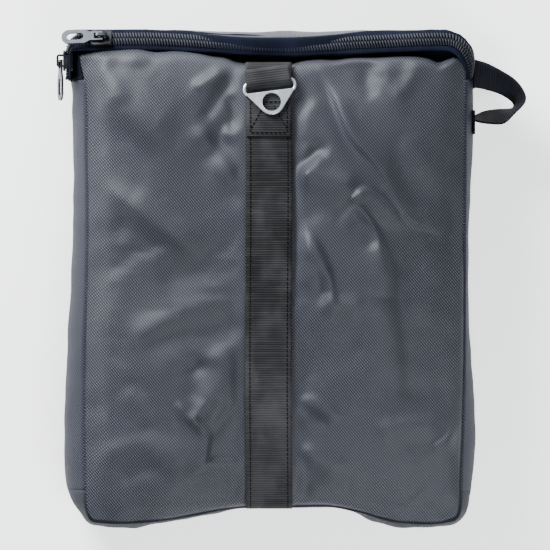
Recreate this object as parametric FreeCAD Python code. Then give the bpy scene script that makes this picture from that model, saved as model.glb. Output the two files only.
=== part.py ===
"""Weight bag for studio stands: a zipped box bag of coated woven nylon, filled through an
inner liner with sand.

The bag lies on its back. +Z is up, out of the front panel, +Y runs towards the zipped end
and +X to the side with the grab handle. The origin is the middle of the resting face.
All sizes are in millimetres.
"""

import FreeCAD, Part

import math
import os

V = FreeCAD.Vector

# ---- driving dimensions -------------------------------------------------------------
HALF_WIDTH = 166.8            # side gussets, outer face
TOP_Y = 203.6                 # zipped end, outer face
BOTTOM_Y = -202.0             # bottom end at its two corners
BOTTOM_MID_Y = -187.5         # bottom end where the load strap pulls it in
BOTTOM_BOW_X = 98.0           # half the width of that pulled-in stretch
BOTTOM_RADIUS = 28.0
TOP_RADIUS = 14.0
CLOTH = 1.6                   # coated cloth with its seam allowance
GAP = 0.3                     # air between neighbouring soft pieces

EDGE_Z = 64.0                 # height of the front seam
CROWN = 26.0                  # how far the filled front panel rises above its seam
CROWN_HALF_X = 168.0
CROWN_HALF_Y = 207.0
HEM_Y = 186.0                 # upper hem of the front panel, below the zip
LEG_END_Y = 163.5             # where the zip tapes end on the side gussets

ZIP_TOP_Y = 197.0             # zip centre line across the zipped end
ZIP_TOP_Z = 62.0
ZIP_SIDE_X = 166.0            # zip centre line on the side gussets
ZIP_SIDE_Z = 49.0
ZIP_CORNER = 9.0              # radius of the centre line round the corner
ZIP_ROLL = 65.0               # degrees the zip rolls back on the zipped end
COIL_HALF = 5.25              # half the width of the closed chain
COIL_PART = 0.8               # half the parting gap between the two coils
COIL_LOW, COIL_HIGH = -1.0, 1.6
TAPE_MID, TAPE_THICK = -1.4, 0.6

WEB_HALF = 19.0               # load strap: 38 mm webbing
WEB = 1.6                     # webbing thickness
STRAP_TOP_Y = 177.5
TAB_END_Y = 116.5             # lower end of the sewn ring tab
STITCH_LINE = 15.3            # stitch lines from the strap's centre line

RING_Y = 160.3                # bar of the hanging ring
RING_TURN = 7.5               # degrees the ring lies askew
RING_WIRE = 2.4
RING_PLATE = 2.4
RING_HOLE = 7.7               # hole radius
RING_APEX = 10.5              # outer radius round the hole
RING_HOLE_Y = -17.0
RING_TOP_Y = -7.7             # upper edge of the ring's plate, from its bar
RING_SLOPE = 51.6             # degrees of the plate's sides
RING_LIFT = 4.05              # bar centre above the load strap

SLIDER_LENGTH = 17.0
SLIDER_PLATE = (2.2, 4.0)     # each plate's inner and outer height from the centre line
TOP_SLIDER_X = -138.0
SIDE_SLIDER_Y = 179.5
PULL_LENGTH = 33.0
PULL_THICK = 1.6
PULL_AXIS = 6.2               # pull pivot above the centre line
TOP_PULL_DROOP = 5.0
SIDE_PULL_ROLL = 18.0

HANDLE_WIDTH = 25.0
HANDLE_Z = 35.0
HANDLE_HINGE_X = 170.3
LINER_INSET = 7.0
LINER_CLOTH = 0.8
LINER_TOP_Y = 176.0


def save(name, shape):
    """Write one node's solids to its own file."""
    solids = shape.Solids
    body = solids[0] if len(solids) == 1 else Part.makeCompound(solids)
    body.exportStep(os.path.join("parts", name + ".step"))
    print(name, len(solids), "solids", round(shape.Volume, 1), "mm3", shape.isValid())


def box(x0, x1, y0, y1, z0, z1):
    """An upright block between two corners."""
    return Part.makeBox(x1 - x0, y1 - y0, z1 - z0, V(x0, y0, z0))


# ---- the bag's outline and its crowned front ----------------------------------------
def outline_wire():
    """Plan of the body: rounded corners and a bottom end that bows in."""
    w, top, low = HALF_WIDTH, TOP_Y, BOTTOM_Y
    rt, rb, half = TOP_RADIUS, BOTTOM_RADIUS, math.sqrt(0.5)

    def corner(cx, cy, r, sx, sy):
        return V(cx + sx * r * half, cy + sy * r * half, 0)

    edges = [
        Part.LineSegment(V(-w, low + rb, 0), V(-w, top - rt, 0)),
        Part.Arc(V(-w, top - rt, 0), corner(-w + rt, top - rt, rt, -1, 1), V(-w + rt, top, 0)),
        Part.LineSegment(V(-w + rt, top, 0), V(w - rt, top, 0)),
        Part.Arc(V(w - rt, top, 0), corner(w - rt, top - rt, rt, 1, 1), V(w, top - rt, 0)),
        Part.LineSegment(V(w, top - rt, 0), V(w, low + rb, 0)),
        Part.Arc(V(w, low + rb, 0), corner(w - rb, low + rb, rb, 1, -1), V(w - rb, low, 0)),
        Part.LineSegment(V(w - rb, low, 0), V(BOTTOM_BOW_X, low, 0)),
        Part.Arc(V(BOTTOM_BOW_X, low, 0), V(0, BOTTOM_MID_Y, 0), V(-BOTTOM_BOW_X, low, 0)),
        Part.LineSegment(V(-BOTTOM_BOW_X, low, 0), V(-w + rb, low, 0)),
        Part.Arc(V(-w + rb, low, 0), corner(-w + rb, low + rb, rb, -1, -1), V(-w, low + rb, 0)),
    ]
    return Part.Wire([edge.toShape() for edge in edges])


OUTLINE = outline_wire()


def footprint(inset, z0, z1):
    """The plan, drawn in by inset, as an upright block."""
    wire = OUTLINE.makeOffset2D(-inset) if inset else OUTLINE
    block = Part.Face(wire).extrude(V(0, 0, z1 - z0))
    return block.translated(V(0, 0, z0))


def front_height(x, y):
    """Height of the front panel's outer face."""
    return EDGE_Z + CROWN * (1 - (x / CROWN_HALF_X) ** 4) * (1 - (y / CROWN_HALF_Y) ** 4)


def front_slope(y):
    """Slope of the front panel along its middle."""
    return -4 * CROWN * y ** 3 / CROWN_HALF_Y ** 4


def front_face():
    """The front panel's outer face as one smooth surface, wider than the bag."""
    columns, rows, reach_x, reach_y = 25, 31, 176.0, 214.0
    grid = []
    for i in range(columns):
        x = reach_x * (2 * i / (columns - 1) - 1)
        line = []
        for j in range(rows):
            y = reach_y * (2 * j / (rows - 1) - 1)
            line.append(V(x, y, front_height(x, y)))
        grid.append(line)
    surface = Part.BSplineSurface()
    surface.interpolate(grid)
    return surface.toShape()


FRONT = front_face()


def skin(low, high):
    """A layer that follows the front, between two heights above its outer face."""
    return FRONT.translated(V(0, 0, low)).extrude(V(0, 0, high - low))


def below_front(drop):
    """Everything lower than drop below the front's outer face."""
    return FRONT.translated(V(0, 0, -drop)).extrude(V(0, 0, -160))


# ---- body panels --------------------------------------------------------------------
def front_panel():
    """The crowned front, hemmed below the zip."""
    plan = footprint(0, 40, 120).common(box(-200, 200, -220, HEM_Y, 40, 120))
    return skin(-CLOTH, 0).common(plan)


def wall_ring():
    """All four gussets in one, up to just below the front panel."""
    tube = footprint(0, CLOTH + GAP, 100).cut(footprint(CLOTH, 0, 110))
    return tube.common(below_front(CLOTH + GAP))


def side_gusset(walls, side):
    """One side wall: full height, then low enough for the zip to pass over it."""
    reach = 200 * side
    x0, x1 = min(0, reach), max(0, reach)
    leg_floor = ZIP_SIDE_Z - 12.4
    tall = box(x0, x1, BOTTOM_Y + BOTTOM_RADIUS + GAP, LEG_END_Y - GAP, 0, 120)
    low = box(x0, x1, LEG_END_Y - 1, TOP_Y - TOP_RADIUS - GAP, 0, leg_floor)
    return walls.common(tall.fuse(low))


def bottom_gusset(walls):
    """The wall across the bottom end, round both corners."""
    return walls.common(box(-200, 200, -240, BOTTOM_Y + BOTTOM_RADIUS, 0, 120))


def top_gusset(walls):
    """The strip behind the zip at the zipped end."""
    corner_y = TOP_Y - TOP_RADIUS
    straight_x = HALF_WIDTH - TOP_RADIUS
    strip = box(-straight_x, straight_x, corner_y, 240, 0, ZIP_TOP_Z - 12.3)
    ends = box(-200, 200, corner_y, 240, 0, ZIP_SIDE_Z - 12.4)
    return walls.common(strip.fuse(ends))


def back_panel():
    """The flat back, on which the bag lies."""
    return footprint(0, 0, CLOTH)


def seam_binding(low, high, end_y):
    """Tape that binds a seam's raw edges inside the bag."""
    ring = footprint(CLOTH + GAP, low, high).cut(footprint(CLOTH + GAP + 0.9, low - 1, high + 1))
    return ring.common(box(-200, 200, -240, end_y, 0, 120))


# ---- filling ------------------------------------------------------------------------
def pillow(inset, floor, drop, end_y):
    """A solid that fills the bag evenly, with the given clearances."""
    block = footprint(inset, floor, 120).common(below_front(drop))
    return block.common(box(-200, 200, -240, end_y, 0, 120))


def liner_bag():
    """The closed inner bag, with a flat neck for filling at the zipped end."""
    t = LINER_CLOTH
    outer = pillow(LINER_INSET, 3.0, 4.0, LINER_TOP_Y)
    inner = pillow(LINER_INSET + t, 3.0 + t, 4.0 + t, LINER_TOP_Y - t)
    neck = box(-130, 130, LINER_TOP_Y - t, LINER_TOP_Y + 14, 29, 36.6)
    mouth = box(-130 + t, 130 - t, LINER_TOP_Y - 3, LINER_TOP_Y + 16, 29 + t, 36.6 - t)
    return outer.cut(inner).fuse(neck).cut(mouth).removeSplitter()


def sand_fill():
    """The sand, settled into the liner."""
    clear = LINER_CLOTH + GAP
    return pillow(LINER_INSET + clear, 3.0 + clear, 4.0 + clear, LINER_TOP_Y - 4)


def closure_strip(z0, z1):
    """One of the two fastening strips inside the liner's neck."""
    return box(-125, 125, LINER_TOP_Y + 1, LINER_TOP_Y + 13, z0, z1)


# ---- zip ----------------------------------------------------------------------------
def zip_frame(side, turn):
    """Centre, width and normal of the zip at a turn of 0 (side) to 90 degrees (end)."""
    t = math.radians(turn)
    share = turn / 90.0
    ease = share * share * (3 - 2 * share)
    roll = math.radians(ZIP_ROLL * ease)
    out = V(side * math.cos(t), math.sin(t), 0)
    mid = V(side * (ZIP_SIDE_X - ZIP_CORNER), ZIP_TOP_Y - ZIP_CORNER, 0)
    centre = mid + out * ZIP_CORNER
    centre.z = ZIP_SIDE_Z + (ZIP_TOP_Z - ZIP_SIDE_Z) * ease
    normal = out * math.cos(roll) + V(0, 0, math.sin(roll))
    width = V(0, 0, math.cos(roll)) - out * math.sin(roll)
    return centre, width, normal, ease


def zip_stations():
    """Frames along the zip, from the end of one leg round to the end of the other."""
    turns = (0, 10, 20, 30, 40, 50, 60, 70, 80, 90)
    left = [zip_frame(-1, t) for t in turns]
    right = [zip_frame(1, t) for t in reversed(turns)]
    start, end = [], []
    for run, store in ((left[0], start), (right[-1], end)):
        centre = V(run[0])
        centre.y = LEG_END_Y
        store.append((centre, run[1], run[2], run[3]))
    return start + left + right + end


STATIONS = zip_stations()


def zip_band(section):
    """A strip along the whole zip; section(ease) lists its corners across and above it."""
    wires = []
    for centre, width, normal, ease in STATIONS:
        corners = [centre + width * v + normal * n for v, n in section(ease)]
        wires.append(Part.makePolygon(corners + corners[:1]))
    return Part.makeLoft(wires, True, True)


def coil(side):
    """One coil of the chain, as a plain bar of its outer size."""
    near, far = side * COIL_PART, side * COIL_HALF
    corners = [(near, COIL_LOW), (far, COIL_LOW), (far, COIL_HIGH), (near, COIL_HIGH)]
    bar = zip_band(lambda ease: corners)
    ends = box(-200, 200, 0, LEG_END_Y + 2.2, 0, 120)
    return bar.cut(ends)


def front_tape():
    """The tape between the chain and the front panel's hem."""
    low, high = TAPE_MID - TAPE_THICK / 2, TAPE_MID + TAPE_THICK / 2

    def section(ease):
        reach, dip = 11.0 + 2.5 * ease, -6.5 * ease
        knee = COIL_HALF + 0.6 + 2.4 * ease
        return [(COIL_PART, low), (knee, low), (reach, low + dip),
                (reach, high + dip), (knee, high), (COIL_PART, high)]

    return zip_band(section)


def rear_tape():
    """The tape between the chain and the gussets."""
    low, high = TAPE_MID - TAPE_THICK / 2, TAPE_MID + TAPE_THICK / 2

    def section(ease):
        reach, dip, lean = 12.0, -6.6 * ease, 0.25 * ease
        knee = COIL_HALF + 0.75 + 2.4 * ease
        return [(-COIL_PART, high), (-knee, high), (-reach - lean, high + dip),
                (-reach + lean, low + dip), (-knee + lean, low), (-COIL_PART, low)]

    return zip_band(section)


def end_stops():
    """The clamped stops at both ends of the chain."""
    stops = []
    for side in (-1, 1):
        x0 = side * (ZIP_SIDE_X + COIL_HIGH + 0.6)
        x1 = side * (ZIP_SIDE_X - 0.7)
        stops.append(box(min(x0, x1), max(x0, x1), LEG_END_Y + 0.2, LEG_END_Y + 2.0,
                         ZIP_SIDE_Z - COIL_HALF, ZIP_SIDE_Z + COIL_HALF))
    return Part.makeCompound(stops)


# ---- sliders and pulls --------------------------------------------------------------
def place(shape, origin, x_axis, z_axis):
    """Move a shape from its own axes to an origin with the given axes."""
    y_axis = z_axis.cross(x_axis)
    turn = FreeCAD.Rotation(x_axis, y_axis, z_axis, "XYZ")
    moved = shape.copy()
    moved.Placement = FreeCAD.Placement(origin, turn).multiply(moved.Placement)
    return moved


def slider_plate(z0, z1):
    """One shoe-shaped plate, wide at the nose (+X) and narrow at the tail."""
    half, nose, tail = SLIDER_LENGTH / 2, 7.3, 6.3
    points = [V(-half, -tail, z0), V(half, -nose, z0), V(half, nose, z0), V(-half, tail, z0)]
    plate = Part.Face(Part.makePolygon(points + points[:1])).extrude(V(0, 0, z1 - z0))
    upright = [e for e in plate.Edges if abs(e.tangentAt(e.FirstParameter).z) > 0.99]
    return plate.makeFillet(2.2, upright)


def slider_body():
    """Two plates, the divider that joins them and the flanges that hold the coils in."""
    inner, outer = SLIDER_PLATE
    upper = slider_plate(inner, outer)
    rim = [e for e in upper.Edges if abs(e.CenterOfMass.z - outer) < 1e-6]
    upper = upper.makeFillet(0.6, rim)
    lower = slider_plate(-outer, -inner)
    divider = box(3.2, 7.2, -0.55, 0.55, -inner - 0.1, inner + 0.1)
    body = upper.fuse(lower).fuse(divider)
    for side in (-1, 1):
        y0, y1 = sorted((side * 5.7, side * 6.9))
        flange = box(-6.8, 4.6, y0, y1, -0.7, inner + 0.1)
        body = body.fuse(flange.common(slider_plate(-2, outer)))
    return body.removeSplitter()


def slider_bail():
    """The arched bail on the slider, through which its pull is threaded."""
    foot, top = SLIDER_PLATE[1], 9.6
    arch = box(-5.4, 5.4, -1.2, 1.2, foot, top)
    corners = [e for e in arch.Edges
               if abs(abs(e.CenterOfMass.x) - 5.4) < 1e-6 and abs(e.CenterOfMass.z - top) < 1e-6]
    arch = arch.makeFillet(2.4, corners)
    window = box(-3.6, 3.6, -2, 2, foot - 1, 7.8)
    return arch.cut(window)


def pull():
    """A flat pull: an eye for the bail, a narrow neck and a wide end with a long hole."""
    t = PULL_THICK
    neck, wide, flare, end = 3.9, 6.2, 9.5, PULL_LENGTH
    side = [V(-0.9, neck, 0), V(flare, neck, 0), V(flare + 4.5, wide, 0), V(end - 5.5, wide, 0)]
    mirror = [V(p.x, -p.y, 0) for p in reversed(side)]
    edges = [Part.makePolygon(side), Part.Arc(side[-1], V(end, 0, 0), mirror[0]).toShape(),
             Part.makePolygon(mirror), Part.makeLine(mirror[-1], side[0])]
    plate = Part.Face(Part.Wire([e for w in edges for e in w.Edges])).extrude(V(0, 0, t))
    eye = box(0.9, 6.3, -2.6, 2.6, -1, t + 1)
    long_hole = box(18, 25.5, -3.1, 3.1, -1, t + 1)
    for x in (18, 25.5):
        long_hole = long_hole.fuse(Part.makeCylinder(3.1, t + 2, V(x, 0, -1)))
    plate = plate.cut(eye).cut(long_hole.removeSplitter())
    return plate.translated(V(0, 0, -t / 2))


def top_slider_axes():
    """Origin, nose direction and normal of the slider on the zipped end."""
    roll = math.radians(ZIP_ROLL)
    origin = V(TOP_SLIDER_X, ZIP_TOP_Y, ZIP_TOP_Z)
    return origin, V(-1, 0, 0), V(0, math.cos(roll), math.sin(roll))


def side_slider_axes():
    """Origin, nose direction and normal of the slider on the left gusset."""
    return V(-ZIP_SIDE_X, SIDE_SLIDER_Y, ZIP_SIDE_Z), V(0, 1, 0), V(-1, 0, 0)


def top_pull():
    """The pull that lies back over the corner."""
    origin, nose, normal = top_slider_axes()
    droop = math.radians(TOP_PULL_DROOP)
    along = nose * math.cos(droop) - normal * math.sin(droop)
    up = normal * math.cos(droop) + nose * math.sin(droop)
    return place(pull(), origin + normal * PULL_AXIS, along, up)


def side_pull():
    """The pull that hangs down the side, turned a little on its bail."""
    origin, nose, normal = side_slider_axes()
    roll = math.radians(SIDE_PULL_ROLL)
    up = normal * math.cos(roll) + V(0, 0, 1) * math.sin(roll)
    return place(pull(), origin + normal * PULL_AXIS, nose * -1, up)


# ---- load strap, ring tab and hanging ring ------------------------------------------
def load_strap():
    """Webbing down the middle of the front and over the bottom end."""
    low, high = 0.25, 0.25 + WEB
    end_y = BOTTOM_MID_Y - 0.9 - WEB
    front = skin(low, high).common(box(-WEB_HALF, WEB_HALF, end_y, STRAP_TOP_Y, 40, 120))
    drop = box(-WEB_HALF, WEB_HALF, end_y, end_y + WEB, 3, 110)
    return front.fuse(drop.common(below_front(-high))).removeSplitter()


def ring_axes():
    """Origin on the strap under the ring's bar, the bar's direction and the normal."""
    tilt = math.atan(front_slope(148.0))
    lean = FreeCAD.Rotation(V(1, 0, 0), math.degrees(tilt))
    normal = lean.multVec(V(0, 0, 1))
    bar = FreeCAD.Rotation(normal, RING_TURN).multVec(V(1, 0, 0))
    return V(0, RING_Y, front_height(0, RING_Y) + 0.25 + WEB), bar, normal


def ring_tab():
    """Webbing folded round the ring's bar and sewn down on the load strap."""
    origin, bar, normal = ring_axes()
    half = WEB_HALF - 0.3
    base, roof = RING_LIFT - 1.75, RING_LIFT + 1.75
    shell = box(-half, half, -4.0, 12.0, 0.3, roof + WEB)
    ends = [e for e in shell.Edges if abs(e.CenterOfMass.x) < 1e-6
            and (e.CenterOfMass.y > 11 or e.CenterOfMass.z > roof)]
    shell = shell.makeFillet(1.9, ends)
    loop = shell.cut(box(-half - 1, half + 1, -2.4, 10.4, base, roof))
    loop = place(loop, origin, bar, normal)
    tail = skin(0.5 + WEB, 0.5 + 2 * WEB).common(box(-half, half, TAB_END_Y, RING_Y - 3.0, 40, 120))
    under_wall = place(box(-40, 40, -60, -3.6, -20, 20), origin, bar, normal)
    return loop.fuse(tail.common(under_wall)).removeSplitter()


def hanging_ring():
    """Flat triangular ring: plate with a round hole, two hooks and a round bar."""
    slope = math.radians(RING_SLOPE)
    hole = V(0, RING_HOLE_Y, 0)
    touch = V(RING_APEX * math.sin(slope), RING_HOLE_Y - RING_APEX * math.cos(slope), 0)
    rise = RING_TOP_Y - touch.y
    shoulder = V(touch.x + rise / math.tan(slope), RING_TOP_Y, 0)
    mirror = lambda p: V(-p.x, p.y, p.z)
    low = V(0, RING_HOLE_Y - RING_APEX, 0)
    edges = [Part.makeLine(mirror(shoulder), shoulder), Part.makeLine(shoulder, touch),
             Part.Arc(touch, low, mirror(touch)).toShape(),
             Part.makeLine(mirror(touch), mirror(shoulder))]
    plate = Part.Face(Part.Wire(edges)).extrude(V(0, 0, RING_PLATE))
    plate = plate.translated(V(0, 0, -RING_PLATE / 2))
    plate = plate.makeFillet(0.7, plate.Edges)
    plate = plate.cut(Part.makeCylinder(RING_HOLE, 10, hole - V(0, 0, 5)))
    ends = [V(s * 18.9, 0, 0) for s in (-1, 1)]
    bar = Part.makeCylinder(RING_WIRE / 2, 37.8, ends[0], V(1, 0, 0))
    ring = plate.fuse(bar)
    for side in (-1, 1):
        tip = V(side * (shoulder.x - 1.6), RING_TOP_Y - 1.2, 0)
        start = V(side * 18.9, 0, 0)
        bend = Part.Arc(start, V(side * 20.9, -4.2, 0), tip).toShape()
        profile = Part.Wire(Part.makeCircle(RING_WIRE / 2, start, bend.tangentAt(bend.FirstParameter)))
        hook = Part.Wire(bend).makePipeShell([profile], True, False)
        ring = ring.fuse(hook).fuse(Part.makeSphere(RING_WIRE / 2, start))
    return ring.removeSplitter()


def placed_ring():
    """The hanging ring, lying on its tab."""
    origin, bar, normal = ring_axes()
    return place(hanging_ring(), origin + normal * RING_LIFT, bar, normal)


def edge_stitching():
    """The two rows that sew the load strap to the front panel."""
    rows = skin(0.3 + WEB, 0.55 + WEB)
    low, high = BOTTOM_MID_Y + 1, TAB_END_Y - 1
    lines = [rows.common(box(x - 0.4, x + 0.4, low, high, 40, 120))
             for x in (-STITCH_LINE, STITCH_LINE)]
    return Part.makeCompound(lines)


def cross_stitching():
    """The crossed box of stitches that holds the ring tab down."""
    layer = skin(0.55 + 2 * WEB, 0.7 + 2 * WEB)
    low, high, reach = TAB_END_Y + 2.5, TAB_END_Y + 17.5, 14.5
    frame = box(-reach, reach, low, high, 40, 120).cut(
        box(-reach + 0.8, reach - 0.8, low + 0.8, high - 0.8, 30, 130))
    span = math.hypot(2 * reach, high - low) - 1.0
    lean = math.degrees(math.atan2(high - low, 2 * reach))
    for angle in (lean, -lean):
        bar = box(-span / 2, span / 2, -0.4, 0.4, 40, 120)
        bar.rotate(V(0, 0, 0), V(0, 0, 1), angle)
        frame = frame.fuse(bar.translated(V(0, (low + high) / 2, 0)))
    return layer.common(frame.removeSplitter())


# ---- grab handle --------------------------------------------------------------------
def handle_loop():
    """The free loop of webbing, lying flat out from the gusset."""
    root = HANDLE_HINGE_X + 0.7
    outer = [(root, 181.0), (182.0, 176.5), (204.0, 163.0), (211.0, 148.5), (203.0, 137.0),
             (190.0, 128.0), (root, 130.5)]
    inner = [(root, 137.5), (193.0, 140.5), (200.0, 144.0), (194.0, 151.0), (183.0, 155.5),
             (root, 158.5)]
    corners = [V(x, y, 0) for x, y in outer + inner]
    thick = WEB + 0.2
    loop = Part.Face(Part.makePolygon(corners + corners[:1])).extrude(V(0, 0, thick))
    upright = [e for e in loop.Edges if e.Vertexes[0].X > root + 1
               and abs(e.Vertexes[0].Z - e.Vertexes[-1].Z) > 1]
    return loop.makeFillet(2.5, upright).translated(V(0, 0, HANDLE_Z - thick / 2))


def handle_ends():
    """The two ends of the handle, sewn flat on the right gusset."""
    x0, x1 = HALF_WIDTH + GAP, HALF_WIDTH + GAP + WEB
    upper = box(x0, x1, 157.0, 157.0 + HANDLE_WIDTH, HANDLE_Z - 21.0, HANDLE_Z + 1.0)
    lower = box(x0, x1, 119.0, 139.0, HANDLE_Z - 12.5, HANDLE_Z + 12.5)
    return Part.makeCompound([upper, lower])


def handle_backing():
    """Webbing behind the gusset that the handle's stitches go through."""
    x1 = HALF_WIDTH - CLOTH - GAP
    return box(x1 - WEB, x1, 116.0, 185.0, 12.0, HANDLE_Z + 1.0)


def handle_tacks():
    """Two tacks of dense stitching across each sewn end."""
    x0 = HALF_WIDTH + GAP + WEB + 0.05
    rows = [box(x0, x0 + 0.5, 159.5, 179.5, z, z + 1.6) for z in (16.5, 27.0)]
    rows += [box(x0, x0 + 0.5, y, y + 1.6, HANDLE_Z - 10, HANDLE_Z + 10) for y in (121.5, 133.0)]
    return Part.makeCompound(rows)


def main():
    """Build every node."""
    os.makedirs("parts", exist_ok=True)
    walls = wall_ring()
    save("front_panel", front_panel())
    save("back_panel", back_panel())
    save("left_gusset", side_gusset(walls, -1))
    save("right_gusset", side_gusset(walls, 1))
    save("bottom_gusset", bottom_gusset(walls))
    save("top_gusset", top_gusset(walls))
    save("front_seam_binding", seam_binding(53.0, 61.0, LEG_END_Y - 2))
    save("back_seam_binding", seam_binding(2.2, 9.0, 240))
    save("liner_bag", liner_bag())
    save("sand_fill", sand_fill())
    save("liner_hook_strip", closure_strip(30.1, 32.6))
    save("liner_loop_strip", closure_strip(32.9, 35.5))
    save("zip_tape_front", front_tape())
    save("zip_tape_rear", rear_tape())
    save("zip_coil_front", coil(1))
    save("zip_coil_rear", coil(-1))
    save("zip_end_stops", end_stops())
    save("top_slider_body", place(slider_body(), *top_slider_axes()))
    save("top_slider_bail", place(slider_bail(), *top_slider_axes()))
    save("top_slider_pull", top_pull())
    save("side_slider_body", place(slider_body(), *side_slider_axes()))
    save("side_slider_bail", place(slider_bail(), *side_slider_axes()))
    save("side_slider_pull", side_pull())
    save("load_strap", load_strap())
    save("ring_tab", ring_tab())
    save("strap_edge_stitching", edge_stitching())
    save("ring_tab_stitching", cross_stitching())
    save("hanging_ring", placed_ring())
    save("handle_loop", handle_loop())
    save("handle_ends", handle_ends())
    save("handle_tacks", handle_tacks())
    save("handle_backing", handle_backing())


main()
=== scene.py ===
"""Weight bag for studio stands: coated cloth, webbing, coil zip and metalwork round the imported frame."""
import logging
import math
from dataclasses import dataclass
from enum import Enum

import bpy
import numpy as np
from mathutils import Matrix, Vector, noise


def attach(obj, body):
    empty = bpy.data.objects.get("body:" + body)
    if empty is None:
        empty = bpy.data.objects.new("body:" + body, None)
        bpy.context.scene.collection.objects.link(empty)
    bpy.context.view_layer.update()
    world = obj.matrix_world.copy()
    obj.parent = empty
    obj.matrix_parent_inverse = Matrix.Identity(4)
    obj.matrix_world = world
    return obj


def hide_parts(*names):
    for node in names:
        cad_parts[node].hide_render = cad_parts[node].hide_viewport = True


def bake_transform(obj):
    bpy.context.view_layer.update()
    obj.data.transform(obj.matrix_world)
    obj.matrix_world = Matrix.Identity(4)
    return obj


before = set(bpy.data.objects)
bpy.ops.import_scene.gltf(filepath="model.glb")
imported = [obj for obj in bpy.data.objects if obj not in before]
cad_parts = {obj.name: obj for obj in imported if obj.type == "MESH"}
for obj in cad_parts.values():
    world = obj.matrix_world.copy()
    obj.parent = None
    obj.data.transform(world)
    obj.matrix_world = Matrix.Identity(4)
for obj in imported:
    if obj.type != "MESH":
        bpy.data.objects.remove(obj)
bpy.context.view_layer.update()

LOG = logging.getLogger("weight_bag")
MM = 0.001
SETTLE_FRAMES = 20
SPAN_SAMPLES = 24
Point = tuple[float, float]
Array = np.ndarray
Faces = list[tuple[int, ...]]
Shape = tuple[Array, Faces]


# ---- shader expressions --------------------------------------------------------------
class Sock:
    """A shader socket that can be used in arithmetic."""

    def __init__(self, shade: "Shade", socket: bpy.types.NodeSocket) -> None:
        """Wrap one output socket."""
        self.shade, self.socket = shade, socket

    def _math(self, operation: str, *values: object) -> "Sock":
        """Add one Math node."""
        return self.shade.node("ShaderNodeMath", {"operation": operation}, *values)

    def __add__(self, other: object) -> "Sock":
        """Sum."""
        return self._math("ADD", self, other)

    def __sub__(self, other: object) -> "Sock":
        """Difference."""
        return self._math("SUBTRACT", self, other)

    def __rsub__(self, other: object) -> "Sock":
        """Difference from a number."""
        return self._math("SUBTRACT", other, self)

    def __mul__(self, other: object) -> "Sock":
        """Product."""
        return self._math("MULTIPLY", self, other)

    __radd__, __rmul__ = __add__, __mul__

    def sin(self) -> "Sock":
        """Sine."""
        return self._math("SINE", self)

    def abs(self) -> "Sock":
        """Size without sign."""
        return self._math("ABSOLUTE", self)

    def power(self, exponent: float) -> "Sock":
        """Raised to a power."""
        return self._math("POWER", self, exponent)

    def ramp(self, low: float, high: float) -> "Sock":
        """Zero at low, one at high, smooth in between."""
        settings = {"interpolation_type": "SMOOTHSTEP"}
        return self.shade.node("ShaderNodeMapRange", settings, self, low, high, 0.0, 1.0)


class Shade:
    """Builds one material's nodes."""

    def __init__(self, name: str) -> None:
        """Start a material with a bare Principled shader."""
        self.material = bpy.data.materials.new(name)
        self.material.use_nodes = True
        self.tree = self.material.node_tree
        self.shader = self.tree.nodes["Principled BSDF"]

    def node(self, kind: str, settings: dict[str, object] | None = None, *values: object,
             out: int | str = 0, **named: object) -> Sock:
        """Add a node.

        Args:
            kind: The node's type.
            settings: Properties set before its sockets.
            values: Numbers or sockets for its inputs in order; None leaves one alone.
            out: Which output to return.
            named: Values for inputs by name, with _ for a space.

        Returns:
            The chosen output.
        """
        made = self.tree.nodes.new(kind)
        for key, value in (settings or {}).items():
            setattr(made, key, value)
        pairs = list(zip(made.inputs, values))
        pairs += [(made.inputs[key.replace("_", " ")], value) for key, value in named.items()]
        for socket, value in pairs:
            if isinstance(value, Sock):
                self.tree.links.new(value.socket, socket)
            elif value is not None:
                socket.default_value = value
        return Sock(self, made.outputs[out])

    def split(self, vector: Sock) -> tuple[Sock, Sock, Sock]:
        """The three parts of a vector.

        Args:
            vector: The vector to take apart.

        Returns:
            Its X, Y and Z.
        """
        made = self.node("ShaderNodeSeparateXYZ", None, vector)
        outputs = made.socket.node.outputs
        return tuple(Sock(self, outputs[i]) for i in range(3))

    def place(self) -> Sock:
        """The point on the piece, in metres."""
        return self.node("ShaderNodeTexCoord", None, out="Object")

    def cloth(self) -> Sock:
        """The point on the cut cloth, in metres."""
        return self.node("ShaderNodeUVMap", {"uv_map": "cut"})

    def noise(self, vector: Sock, scale: float, detail: float = 2.0) -> Sock:
        """Soft noise from 0 to 1."""
        return self.node("ShaderNodeTexNoise", None, Vector=vector, Scale=scale, Detail=detail)

    def stretched(self, vector: Sock, across: float, along: float) -> Sock:
        """A cloth place scaled apart in its two directions."""
        return self.node("ShaderNodeMapping", None, Vector=vector, Scale=(across, along, 1.0))

    def mix(self, share: object, one: object, two: object) -> Sock:
        """Blend two colours.

        Args:
            share: How much of the second, from 0 to 1.
            one: The first colour.
            two: The second colour.

        Returns:
            The blended colour.
        """
        made = self.tree.nodes.new("ShaderNodeMix")
        made.data_type = "RGBA"
        for socket, value in zip((made.inputs[0], made.inputs[6], made.inputs[7]), (share, one, two)):
            if isinstance(value, Sock):
                self.tree.links.new(value.socket, socket)
            else:
                socket.default_value = value
        return Sock(self, made.outputs[2])

    def bump(self, height: Sock, distance: float, strength: float = 1.0) -> Sock:
        """A bumped normal from a height from 0 to 1 and its depth in metres."""
        return self.node("ShaderNodeBump", None, Height=height, Distance=distance, Strength=strength)

    def finish(self, **inputs: object) -> bpy.types.Material:
        """Set the shader's inputs by name and return the material.

        Args:
            inputs: Values or sockets by input name, with _ for a space.

        Returns:
            The finished material.
        """
        for key, value in inputs.items():
            socket = self.shader.inputs[key.replace("_", " ")]
            if isinstance(value, Sock):
                self.tree.links.new(value.socket, socket)
            else:
                socket.default_value = value
        return self.material


def rgb(red: float, green: float, blue: float) -> tuple[float, float, float, float]:
    """An opaque colour from linear parts."""
    return red, green, blue, 1.0


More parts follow.
